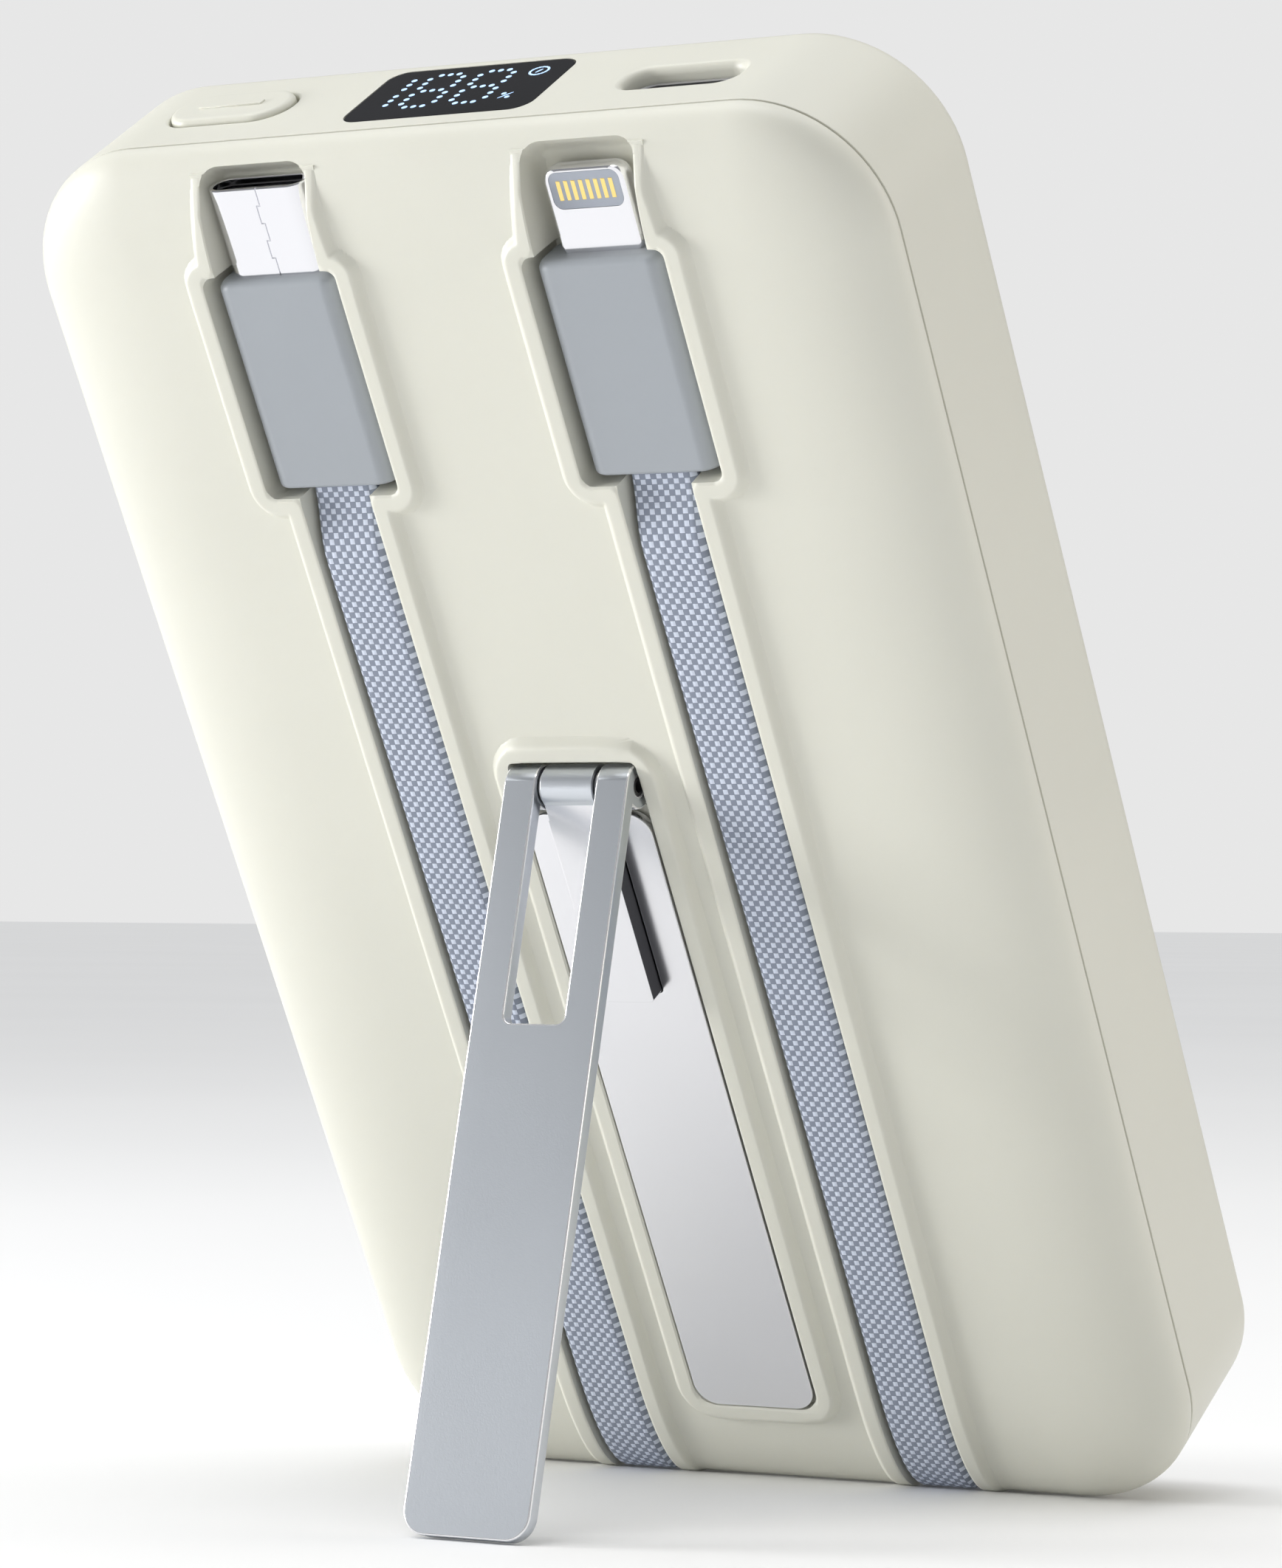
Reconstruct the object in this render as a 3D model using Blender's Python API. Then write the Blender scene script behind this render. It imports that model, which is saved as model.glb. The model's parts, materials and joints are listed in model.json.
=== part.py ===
"""Slim power bank that leans back on a fold-out kickstand, with two built-in flat cables.

The case frame has X across the bank, Y from its cable side to its charging side, and Z up along it,
with Z = 0 at its bottom edge. Everything hangs on an empty that leans the case onto its kickstand.
"""

from math import atan2, cos, pi, radians, sin

import bmesh
import bpy
from mathutils import Matrix, Vector

MM = 0.001

# Case
WIDTH = 71.0 * MM
HEIGHT = 116.7 * MM
DEPTH = 16.8 * MM
CORNER_R = 10.4 * MM
WALL = 2.0 * MM
SEAM_Y = 3.6 * MM
SEAM_GAP = 0.2 * MM
SHOULDER_IN = 12.0 * MM
SHOULDER_POWER = 2.4
INNER_SHOULDER_IN = 6.0 * MM
FRONT_R = 1.8 * MM
LIP_DEEP = 0.8 * MM
LIP_ROOT = 1.6 * MM
LIP_THICK = 0.8 * MM

# Gaps between pieces
SEAT_GAP = 0.3 * MM
SLIDE_GAP = 0.2 * MM
PIVOT_GAP = 0.06 * MM
SIDE_GAP = 0.6 * MM

# Raised rims round the channels and the kickstand recess
RIM_H = 0.7 * MM
RIM_W = 2.0 * MM
TUB_WALL = 1.1 * MM

# Flat cables and their plugs
CABLE_X = 13.5 * MM
RIBBON_W = 5.4 * MM
RIBBON_T = 1.4 * MM
RIBBON_TOP_Y = -0.59 * MM
RIBBON_UNDER_GAP = 0.18 * MM
RIBBON_BOTTOM_Z = 0.8 * MM
CHANNEL_SIDE_GAP = 0.35 * MM
EXIT_RUN = 3.6 * MM
EXIT_BEND_R = 2.0 * MM
EXIT_RISE = 3.2 * MM
CABLE_PIVOT_Z = 13.0 * MM
RISE_LENGTH = 6.0 * MM
OVERMOULD_W = 10.3 * MM
OVERMOULD_T = 4.4 * MM
OVERMOULD_L = 16.7 * MM
OVERMOULD_FRONT_Y = -0.25 * MM
OVERMOULD_R = 1.3 * MM
OVERMOULD_DROP = 9.5 * MM
PLUG_SINK = 1.2 * MM
OVAL_W = 8.3 * MM
OVAL_T = 2.5 * MM
OVAL_L = 6.8 * MM
OVAL_WALL = 0.3 * MM
OVAL_TONGUE_T = 0.7 * MM
OVAL_TONGUE_W = 6.6 * MM
BLADE_W = 6.7 * MM
BLADE_T = 1.5 * MM
BLADE_L = 6.4 * MM
PANEL_H = 3.1 * MM
CRADLE_W = 9.1 * MM
CRADLE_TOP = 0.9 * MM
CRADLE_SLOPE = 1.6 * MM

# Kickstand
LEG_W = 10.6 * MM
LEG_T = 1.25 * MM
LEG_L = 56.1 * MM
LEG_CORNER_R = 1.9 * MM
LEG_EDGE = 0.18 * MM
LEG_OPEN = radians(45.0)
FOOT_Z = 9.3 * MM
EAR_R = 1.7 * MM
SLOT_W = 5.2 * MM
SLOT_L = 18.4 * MM
SLOT_CORNER_R = 1.1 * MM
BARREL_W = 4.4 * MM
TONGUE_W = 4.6 * MM
TONGUE_H = 1.55 * MM
PIN_R = 0.65 * MM
WASHER_R = 1.35 * MM
WASHER_T = 0.2 * MM
PLATE_T = 0.8 * MM
PLATE_START = 2.1 * MM
PIT_CLEAR = 0.35 * MM

# Top edge
TOP_LINE_Y = 9.9 * MM
BUTTON_X = -19.5 * MM
BUTTON_W = 10.2 * MM
BUTTON_D = 5.0 * MM
BUTTON_PROUD = 0.5 * MM
BUTTON_FLANGE = 0.7 * MM
BUTTON_TRAVEL = 0.4 * MM
DISPLAY_W = 15.7 * MM
DISPLAY_D = 9.2 * MM
DISPLAY_R = 1.6 * MM
DISPLAY_T = 1.0 * MM
PORT_X = 18.6 * MM
PORT_Y = 9.3 * MM
PORT_W = 8.9 * MM
PORT_D = 3.2 * MM
PORT_WALL = 0.35 * MM
PORT_L = 7.3 * MM
PORT_SUNK = 1.1 * MM
PORT_TONGUE_W = 6.7 * MM

# Charging side
BOSS_R = 28.0 * MM
BOSS_H = 0.9 * MM
BOSS_DOWN = 28.9 * MM
BOSS_EDGE = 0.5 * MM
PAD_R = 25.5 * MM
PAD_T = 0.8 * MM
PAD_PROUD = 0.2 * MM
RING_OUTER_R = 24.6 * MM
RING_INNER_R = 21.8 * MM
RING_T = 1.5 * MM
COIL_OUTER_R = 21.0 * MM
COIL_INNER_R = 9.5 * MM
COIL_T = 0.9 * MM
FERRITE_T = 0.5 * MM
BAR_MAGNET_W = 5.0 * MM
BAR_MAGNET_L = 16.0 * MM
THERMISTOR_R = 1.2 * MM

# Inside
CELL_W = 60.0 * MM
CELL_L = 75.0 * MM
CELL_T = 4.1 * MM
CELL_START_Y = 3.5 * MM
CELL_START_Z = 8.2 * MM
CELL_GAP = 0.3 * MM
CELL_CORNER_R = 1.5 * MM
CRADLE_WALL = 1.2 * MM
BOARD_T = 1.0 * MM
BOARD_H = 20.0 * MM
BOARD_DOWN = 4.4 * MM
BOARD_SIDE = 5.0 * MM
BOARD_SCREW_X = 27.0 * MM
SCREW_R = 0.6 * MM
SCREW_HEAD_R = 1.2 * MM
SCREW_HEAD_T = 0.6 * MM
POST_R = 1.8 * MM
SWITCH_SIZE = 3.4 * MM
MODULE_T = 1.6 * MM
GLAND_WALL = 1.4 * MM
GLAND_H = 3.4 * MM

CORNER_STEPS = 7
ROUND_STEPS = 28
FINE_STEPS = 56


# Places worked out from the sizes above
RIM_TOP_Y = -RIM_H
RIBBON_Y = RIBBON_TOP_Y + RIBBON_T / 2
CHANNEL_FLOOR = RIBBON_T / 2 + RIBBON_UNDER_GAP
CHANNEL_W = RIBBON_W + 2 * CHANNEL_SIDE_GAP
OVERMOULD_Y = OVERMOULD_FRONT_Y + OVERMOULD_T / 2
OVERMOULD_TOP = HEIGHT - OVERMOULD_DROP
OVERMOULD_BOTTOM = OVERMOULD_TOP - OVERMOULD_L
POCKET_W = OVERMOULD_W + 2 * SIDE_GAP
POCKET_TOP = OVERMOULD_TOP + SIDE_GAP
POCKET_BOTTOM = OVERMOULD_BOTTOM - SIDE_GAP
POCKET_FLOOR = OVERMOULD_FRONT_Y + OVERMOULD_T + SEAT_GAP
CRADLE_FLOOR = OVERMOULD_Y + OVAL_T / 2 + SEAT_GAP
CRADLE_TOP_Z = HEIGHT - CRADLE_TOP
AXIS_Y = RIM_TOP_Y + 0.05 * MM
AXIS_Z = FOOT_Z + LEG_L
PLATE_FLOOR = RIM_TOP_Y + PLATE_T + SEAT_GAP
PIT_FLOOR = AXIS_Y + EAR_R + PIT_CLEAR
PIT_TOP = AXIS_Z + EAR_R + PIT_CLEAR
RECESS_W = LEG_W + 2 * SLIDE_GAP
BOSS_Z = HEIGHT - BOSS_DOWN
INNER_FRONT_Y = DEPTH - WALL
BOARD_Y = PORT_Y - PORT_D / 2 - SLIDE_GAP - BOARD_T
BOARD_TOP_Z = HEIGHT - BOARD_DOWN
TOP_INSIDE_Z = HEIGHT - WALL


def clear_scene():
    for obj in list(bpy.data.objects):
        bpy.data.objects.remove(obj, do_unlink=True)


def make_material(name, colour, roughness, metallic=0.0):
    material = bpy.data.materials.new(name)
    material.use_nodes = True
    shader = material.node_tree.nodes["Principled BSDF"]
    shader.inputs["Base Color"].default_value = (*colour, 1.0)
    shader.inputs["Roughness"].default_value = roughness
    shader.inputs["Metallic"].default_value = metallic
    return material


def make_empty(name, parent=None, place=(0, 0, 0), turn_x=0.0):
    empty = bpy.data.objects.new(name, None)
    bpy.context.scene.collection.objects.link(empty)
    empty.parent = parent
    empty.location = place
    empty.rotation_euler = (turn_x, 0, 0)
    return empty


def add_object(name, bm, parent, material=None):
    """Turns a bmesh into an object. With no material it is a hidden cutter."""
    bmesh.ops.recalc_face_normals(bm, faces=bm.faces)
    mesh = bpy.data.meshes.new(name)
    bm.to_mesh(mesh)
    bm.free()
    obj = bpy.data.objects.new(name, mesh)
    bpy.context.scene.collection.objects.link(obj)
    obj.parent = parent
    if material:
        mesh.materials.append(material)
        mesh.shade_smooth()
        mesh.set_sharp_from_angle(angle=radians(35))
    else:
        obj.hide_render = True
        obj.display_type = "WIRE"
    return obj


def combine(obj, other, operation):
    modifier = obj.modifiers.new(other.name, "BOOLEAN")
    modifier.operation = operation
    modifier.object = other
    modifier.solver = "EXACT"
    return obj


def loft(rings):
    """A closed solid through rings that all have the same number of points."""
    bm = bmesh.new()
    rows = [[bm.verts.new(point) for point in ring] for ring in rings]
    for low, high in zip(rows, rows[1:]):
        for i in range(len(low)):
            j = (i + 1) % len(low)
            bm.faces.new((low[i], low[j], high[j], high[i]))
    bm.faces.new(rows[0])
    bm.faces.new(rows[-1])
    return bm


def arc(centre, radius, start, end, steps):
    for k in range(steps + 1):
        angle = start + (end - start) * k / steps
        yield centre[0] + radius * cos(angle), centre[1] + radius * sin(angle)


def rounded_box(low, high, radius, steps=CORNER_STEPS):
    """Corner arcs of a rounded rectangle from low to high, anticlockwise from its high corner."""
    (x0, z0), (x1, z1) = low, high
    corners = ((x1, z1, -1, -1), (x0, z1, 1, -1), (x0, z0, 1, 1), (x1, z0, -1, 1))
    points = []
    for turn, (x, z, to_x, to_z) in enumerate(corners):
        centre = (x + to_x * radius, z + to_z * radius)
        points += arc(centre, radius, turn * pi / 2, (turn + 1) * pi / 2, steps)
    return points


def at_depth(outline, y):
    return [Vector((x, y, z)) for x, z in outline]


def at_height(outline, z):
    return [Vector((x, y, z)) for x, y in outline]


def at_side(outline, x):
    return [Vector((x, y, z)) for y, z in outline]


def case_ring(inset, y):
    radius = CORNER_R - min(inset, CORNER_R * 0.85)
    low = (-WIDTH / 2 + inset, inset)
    high = (WIDTH / 2 - inset, HEIGHT - inset)
    return at_depth(rounded_box(low, high, radius), y)


def shoulder(inset, span, face_y, steps=9):
    """(inset, y) along the soft shoulder, from the flat back face out to the seam."""
    points = []
    for k in range(steps + 1):
        angle = pi / 2 * (1 - k / steps)
        across = cos(angle) ** (2 / SHOULDER_POWER)
        down = sin(angle) ** (2 / SHOULDER_POWER)
        points.append((inset + span * (1 - across), SEAM_Y - (SEAM_Y - face_y) * down))
    return points


def box(name, low, high, radius, parent, material=None, steps=4):
    """A block with rounded edges along Y."""
    rings = [
        at_depth(rounded_box((low[0], low[2]), (high[0], high[2]), radius, steps), y)
        for y in (low[1], high[1])
    ]
    return add_object(name, loft(rings), parent, material)


def disc(name, radius, y0, y1, centre, parent, material=None, steps=ROUND_STEPS):
    """A round plate whose axis is along Y."""
    outline = list(arc(centre, radius, 0, 2 * pi, steps))[:-1]
    rings = [at_depth(outline, y) for y in (y0, y1)]
    return add_object(name, loft(rings), parent, material)


def ring(name, outer, inner, y0, y1, centre, parent, material, steps=FINE_STEPS):
    """A flat ring about Y, revolved as a closed section."""
    bm = bmesh.new()
    section = [(inner, y0), (outer, y0), (outer, y1), (inner, y1)]
    rows = []
    for k in range(steps):
        angle = 2 * pi * k / steps
        rows.append([bm.verts.new((centre[0] + r * cos(angle), y, centre[1] + r * sin(angle)))
                     for r, y in section])
    for k in range(steps):
        here, after = rows[k], rows[(k + 1) % steps]
        for i in range(4):
            j = (i + 1) % 4
            bm.faces.new((here[i], here[j], after[j], after[i]))
    return add_object(name, bm, parent, material)


def rod(name, radius, x0, x1, parent, material=None, steps=ROUND_STEPS, centre=(0, 0)):
    """A round bar whose axis is along X."""
    outline = list(arc(centre, radius, 0, 2 * pi, steps))[:-1]
    rings = [at_side(outline, x) for x in (x0, x1)]
    return add_object(name, loft(rings), parent, material)


# Case shells

def cover_body(frame, material):
    outside = shoulder(0, SHOULDER_IN, 0)
    inside = shoulder(WALL, INNER_SHOULDER_IN, WALL)
    section = outside + inside[::-1]
    rings = [case_ring(inset, y) for inset, y in section]
    return add_object("back_cover", loft(rings), frame, material)


def shell_body(frame, material):
    start = SEAM_Y + SEAM_GAP
    lip_out = WALL + 2 * SEAT_GAP
    lip_in = lip_out + LIP_THICK
    section = [(WALL + FRONT_R, INNER_FRONT_Y), (WALL, INNER_FRONT_Y - FRONT_R)]
    section += [(WALL, start + LIP_ROOT), (lip_in, start + LIP_ROOT - LIP_THICK)]
    section += [(lip_in, SEAM_Y - LIP_DEEP), (lip_out, SEAM_Y - LIP_DEEP)]
    section += [(lip_out, start), (0, start), (0, DEPTH - FRONT_R)]
    section += [(FRONT_R * (1 - cos(a)), DEPTH - FRONT_R * (1 - sin(a)))
                for a in (pi / 8, pi / 4, 3 * pi / 8, pi / 2)]
    rings = [case_ring(inset, y) for inset, y in section]
    return add_object("front_shell", loft(rings), frame, material)


def rim_blank(frame):
    """The case's back, raised by the rims' height: a rim is the stretch of it round an opening."""
    raised = shoulder(0, SHOULDER_IN, -RIM_H)
    buried = shoulder(WALL / 2, (SHOULDER_IN + INNER_SHOULDER_IN) / 2, WALL / 2)
    rings = [case_ring(inset, y) for inset, y in raised + buried[::-1]]
    return add_object("rim_blank", loft(rings), frame)


def outline_prism(name, outline, y0, y1, frame):
    return add_object(name, loft([at_depth(outline, y) for y in (y0, y1)]), frame)


def cable_outline(side, grow, low_z):
    """Outline of a cable's pocket, cradle and channel together, grown by a margin."""
    centre = side * CABLE_X
    radius = max(grow, 0.6 * MM)
    half_ribbon = CHANNEL_W / 2 + grow
    half_pocket = POCKET_W / 2 + grow
    half_cradle = CRADLE_W / 2 + grow
    corners = [(half_ribbon, low_z), (half_ribbon, POCKET_BOTTOM - grow)]
    corners += [(half_pocket, POCKET_BOTTOM - grow), (half_pocket, POCKET_TOP + grow)]
    corners += [(half_cradle, POCKET_TOP + grow), (half_cradle, CRADLE_TOP_Z + grow)]
    outline = [(centre + x, z) for x, z in corners]
    outline += [(centre - x, z) for x, z in corners[::-1]]
    return soften(outline, radius)


def soften(outline, radius, steps=4):
    """Rounds every corner of a right-angled outline by a radius, or by less on a short side."""
    points = []
    for i, corner in enumerate(outline):
        here = Vector(corner)
        before = Vector(outline[i - 1]) - here
        after = Vector(outline[(i + 1) % len(outline)]) - here
        r = min(radius, 0.46 * before.length, 0.46 * after.length)
        before, after = before.normalized(), after.normalized()
        for k in range(steps + 1):
            angle = pi / 2 * k / steps
            point = here + before * r * (1 - sin(angle)) + after * r * (1 - cos(angle))
            points.append((point.x, point.y))
    return points


def ribbon_path():
    """(y, z) of a ribbon's middle, from inside the case, round the bottom edge and up the back."""
    exit_y = SEAM_Y + EXIT_RUN
    bend = (exit_y, RIBBON_BOTTOM_Z + EXIT_BEND_R)
    path = [(exit_y + EXIT_BEND_R, bend[1] + EXIT_RISE * (1 - k / 3)) for k in range(3)]
    path += arc(bend, EXIT_BEND_R, 0, -pi / 2, 6)
    edge = []
    for k in range(15):
        angle = pi / 2 * k / 14
        across = cos(angle) ** (2 / SHOULDER_POWER)
        down = sin(angle) ** (2 / SHOULDER_POWER)
        z = SHOULDER_IN - (SHOULDER_IN - RIBBON_BOTTOM_Z) * across
        edge.append((SEAM_Y - (SEAM_Y - RIBBON_Y) * down, z))
    return path, edge


def rise_path(start, end):
    """(y, z) of the easy S by which a ribbon rises from its channel into the overmould."""
    points = []
    for k in range(9):
        share = k / 8
        ease = share * share * (3 - 2 * share)
        points.append((RIBBON_Y + (OVERMOULD_Y - RIBBON_Y) * ease, start + (end - start) * share))
    return points


def path_normals(path):
    """For each point, the unit normal on the side that faces out of the case."""
    normals = []
    for i in range(len(path)):
        before, after = Vector(path[max(i - 1, 0)]), Vector(path[min(i + 1, len(path) - 1)])
        along = (after - before).normalized()
        normals.append(Vector((-along.y, along.x)))
    return normals


def sweep(name, path, section, parent, material=None):
    """Carries a closed section of (x, outward) points along a (y, z) path."""
    rings = []
    for (y, z), normal in zip(path, path_normals(path)):
        rings.append([Vector((x, y + normal.x * out, z + normal.y * out)) for x, out in section])
    return add_object(name, loft(rings), parent, material)


def band(centre_x, width, inner, outer):
    """Section of a straight-sided cut, from inner depth to outer height along the normal."""
    half = width / 2
    return [(centre_x - half, -inner), (centre_x + half, -inner),
            (centre_x + half, outer), (centre_x - half, outer)]


def cable_cuts(side, frame):
    """Everything that one cable's pocket removes from the case."""
    centre = side * CABLE_X
    name = "left" if side < 0 else "right"
    reach = RIM_H + 3 * MM
    inner, edge = ribbon_path()
    flat_top = OVERMOULD_BOTTOM - RISE_LENGTH
    surface = edge + [(RIBBON_Y, flat_top)] + rise_path(flat_top, OVERMOULD_BOTTOM)[1:]
    surface = [inner[-1]] + surface + [(OVERMOULD_Y, OVERMOULD_BOTTOM + SIDE_GAP)]
    channel = sweep(name + "_channel_cut", surface, band(centre, CHANNEL_W, CHANNEL_FLOOR, reach), frame)
    deep = inner + [(SEAM_Y, RIBBON_BOTTOM_Z)]
    deep[0] = (deep[0][0], deep[0][1] + GLAND_H)
    slot = sweep(name + "_exit_cut", deep, band(centre, CHANNEL_W, CHANNEL_FLOOR, CHANNEL_FLOOR), frame)
    half = POCKET_W / 2
    low, high = (centre - half, POCKET_BOTTOM), (centre + half, POCKET_TOP)
    pocket = loft([at_depth(rounded_box(low, high, 0.9 * MM, 4), y) for y in (-reach, POCKET_FLOOR)])
    pocket = add_object(name + "_pocket_cut", pocket, frame)
    half = CRADLE_W / 2
    base = OVERMOULD_TOP - SIDE_GAP
    rings = []
    for y, top, radius in ((-reach, CRADLE_TOP_Z, 1.6 * MM), (1.2 * MM, CRADLE_TOP_Z, 1.6 * MM),
                           (CRADLE_FLOOR, CRADLE_TOP_Z - CRADLE_SLOPE, 1.2 * MM)):
        rings.append(at_depth(rounded_box((centre - half, base), (centre + half, top), radius, 4), y))
    cradle = add_object(name + "_cradle_cut", loft(rings), frame)
    return channel, slot, pocket, cradle


def tub_blocks(side, frame):
    """Solid behind one cable's pocket, so that the cuts leave a wall inside the case."""
    centre = side * CABLE_X
    name = "left" if side < 0 else "right"
    half = POCKET_W / 2 + TUB_WALL
    top_limit = TOP_INSIDE_Z - SEAT_GAP
    buried = WALL / 2
    pocket = box(name + "_pocket_tub", (centre - half, buried, POCKET_BOTTOM - TUB_WALL),
                 (centre + half, POCKET_FLOOR + TUB_WALL, POCKET_TOP + TUB_WALL), 1.2 * MM, frame)
    half = CRADLE_W / 2 + TUB_WALL
    cradle = box(name + "_cradle_tub", (centre - half, buried, POCKET_TOP - TUB_WALL),
                 (centre + half, CRADLE_FLOOR + TUB_WALL, top_limit), 1.2 * MM, frame)
    half = CHANNEL_W / 2 + TUB_WALL
    channel = box(name + "_channel_tub", (centre - half, buried, 2 * WALL + TUB_WALL),
                  (centre + half, RIBBON_Y + CHANNEL_FLOOR + TUB_WALL, POCKET_BOTTOM), 1.0 * MM, frame)
    rise = OVERMOULD_BOTTOM - RISE_LENGTH
    ramp = box(name + "_ramp_tub", (centre - half, buried, rise + TUB_WALL),
               (centre + half, OVERMOULD_Y + CHANNEL_FLOOR + TUB_WALL, POCKET_BOTTOM + TUB_WALL),
               1.0 * MM, frame)
    return pocket, cradle, channel, ramp


def kickstand_cuts(frame):
    half = RECESS_W / 2
    low, high = (-half, FOOT_Z - SLIDE_GAP), (half, PIT_TOP)
    outline = rounded_box(low, high, LEG_CORNER_R, 5)
    plate = outline_prism("plate_recess_cut", outline, -RIM_H - 3 * MM, PLATE_FLOOR, frame)
    low = (-half, AXIS_Z - PLATE_START)
    outline = rounded_box(low, high, 0.4 * MM, 3)
    pit = outline_prism("hinge_pit_cut", outline, -RIM_H - 3 * MM, PIT_FLOOR, frame)
    return plate, pit


def hinge_screw_places():
    return [(0.0, AXIS_Z - SLOT_L * share) for share in (0.35, 0.8)]


def back_cover(frame, material):
    cover = cover_body(frame, material)
    blank = rim_blank(frame)
    for side in (-1, 1):
        name = "left" if side < 0 else "right"
        outline = cable_outline(side, RIM_W, -WALL)
        rim = outline_prism(name + "_rim", outline, -RIM_H - 1 * MM, SEAM_Y - SEAM_GAP, frame)
        combine(rim, blank, "INTERSECT")
        combine(cover, rim, "UNION")
    half = RECESS_W / 2 + RIM_W
    outline = rounded_box((-half, FOOT_Z - RIM_W), (half, PIT_TOP + RIM_W), RIM_W, 5)
    rim = outline_prism("kickstand_rim", outline, -RIM_H - 1 * MM, SEAM_Y - SEAM_GAP, frame)
    combine(rim, blank, "INTERSECT")
    combine(cover, rim, "UNION")
    for side in (-1, 1):
        for tub in tub_blocks(side, frame):
            combine(cover, tub, "UNION")
    for side in (-1, 1):
        for cut in cable_cuts(side, frame):
            combine(cover, cut, "DIFFERENCE")
    for cut in kickstand_cuts(frame):
        combine(cover, cut, "DIFFERENCE")
    for i, (x, z) in enumerate(hinge_screw_places()):
        hole = disc(f"hinge_screw_hole_{i}", SCREW_R + SLIDE_GAP, -WALL, 2 * WALL, (x, z), frame, steps=16)
        combine(cover, hole, "DIFFERENCE")
    return cover


def top_prism(name, centre, size, radius, z0, z1, frame, material=None, steps=6):
    """A block that stands along Z, with rounded corners seen from above."""
    (x, y), (w, d) = centre, size
    outline = rounded_box((x - w / 2, y - d / 2), (x + w / 2, y + d / 2), radius, steps)
    return add_object(name, loft([at_height(outline, z) for z in (z0, z1)]), frame, material)


def front_shell(frame, material):
    shell = shell_body(frame, material)
    rings = []
    outline = [list(arc((0, BOSS_Z), r, 0, 2 * pi, FINE_STEPS))[:-1] for r in (BOSS_R, BOSS_R - BOSS_EDGE)]
    rings = [at_depth(outline[0], INNER_FRONT_Y + WALL / 4), at_depth(outline[0], DEPTH + BOSS_H - BOSS_EDGE)]
    rings.append(at_depth(outline[1], DEPTH + BOSS_H))
    combine(shell, add_object("boss_blank", loft(rings), frame), "UNION")
    for side in (-1, 1):
        name = "left" if side < 0 else "right"
        place = (side * BOARD_SCREW_X, BOARD_TOP_Z - BOARD_H / 2)
        start = BOARD_Y + BOARD_T + SEAT_GAP
        post = disc(name + "_post", POST_R, start, INNER_FRONT_Y + WALL / 4, place, frame)
        combine(shell, post, "UNION")
        bore = disc(name + "_post_bore", SCREW_R + SLIDE_GAP, start - WALL, INNER_FRONT_Y - WALL / 2,
                    place, frame, steps=16)
        combine(shell, bore, "DIFFERENCE")
    seat = DEPTH + BOSS_H + PAD_PROUD - PAD_T - SEAT_GAP
    cut = disc("pad_seat_cut", PAD_R + SLIDE_GAP, seat, DEPTH + 5 * MM, (0, BOSS_Z), frame, steps=FINE_STEPS)
    combine(shell, cut, "DIFFERENCE")
    over = HEIGHT + 2 * MM
    radius = BUTTON_D / 2
    size = (BUTTON_W + 2 * SLIDE_GAP, BUTTON_D + 2 * SLIDE_GAP)
    cut = top_prism("button_cut", (BUTTON_X, TOP_LINE_Y), size, radius + SLIDE_GAP * 0.9,
                    TOP_INSIDE_Z - WALL, over, frame)
    combine(shell, cut, "DIFFERENCE")
    size = (DISPLAY_W + 2 * SLIDE_GAP, DISPLAY_D + 2 * SLIDE_GAP)
    cut = top_prism("window_cut", (0, TOP_LINE_Y), size, DISPLAY_R, HEIGHT - DISPLAY_T - SEAT_GAP, over, frame)
    combine(shell, cut, "DIFFERENCE")
    size = (DISPLAY_W - 3 * MM, DISPLAY_D - 2 * MM)
    cut = top_prism("module_cut", (0, TOP_LINE_Y), size, DISPLAY_R / 2, TOP_INSIDE_Z - WALL, over, frame)
    combine(shell, cut, "DIFFERENCE")
    size = (PORT_W + 2 * SLIDE_GAP, PORT_D + 2 * SLIDE_GAP)
    cut = top_prism("port_cut", (PORT_X, PORT_Y), size, PORT_D / 2, TOP_INSIDE_Z - WALL, over, frame)
    combine(shell, cut, "DIFFERENCE")
    for side in (-1, 1):
        channel, slot, pocket, cradle = cable_cuts(side, frame)
        combine(shell, channel, "DIFFERENCE")
        combine(shell, slot, "DIFFERENCE")
        half = POCKET_W / 2 + TUB_WALL + SEAT_GAP
        x = side * CABLE_X
        low = (x - half, -WALL, POCKET_TOP)
        high = (x + half, SEAM_Y + LIP_ROOT + LIP_THICK, TOP_INSIDE_Z - SLIDE_GAP / 2)
        notch = box("lip_notch", low, high, 0.5 * MM, frame)
        combine(shell, notch, "DIFFERENCE")
    return shell


def charging_pad(frame, material):
    top = DEPTH + BOSS_H + PAD_PROUD
    rings = []
    for radius, y in ((PAD_R, top - PAD_T), (PAD_R, top - PAD_PROUD), (PAD_R - PAD_PROUD, top)):
        rings.append(at_depth(list(arc((0, BOSS_Z), radius, 0, 2 * pi, FINE_STEPS))[:-1], y))
    return add_object("charging_pad", loft(rings), frame, material)


# Charging parts behind the pad

def charging_parts(frame, copper, dark, magnet, bead):
    centre = (0, BOSS_Z)
    back = INNER_FRONT_Y - SEAT_GAP
    ring("magnet_ring", RING_OUTER_R, RING_INNER_R, back - RING_T, back, centre, frame, magnet)
    ring("charging_coil", COIL_OUTER_R, COIL_INNER_R, back - COIL_T, back, centre, frame, copper)
    ferrite_y = back - COIL_T - SEAT_GAP
    disc("ferrite_sheet", COIL_OUTER_R, ferrite_y - FERRITE_T, ferrite_y, centre, frame, dark, FINE_STEPS)
    top = BOSS_Z - RING_OUTER_R - 2 * SEAT_GAP
    low = (-BAR_MAGNET_W / 2, back - RING_T, top - BAR_MAGNET_L)
    box("bar_magnet", low, (BAR_MAGNET_W / 2, back, top), 0.8 * MM, frame, magnet)
    disc("thermistor", THERMISTOR_R, back - COIL_T, back, (0, BOSS_Z), frame, bead, 16)


# Cells and board

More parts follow.
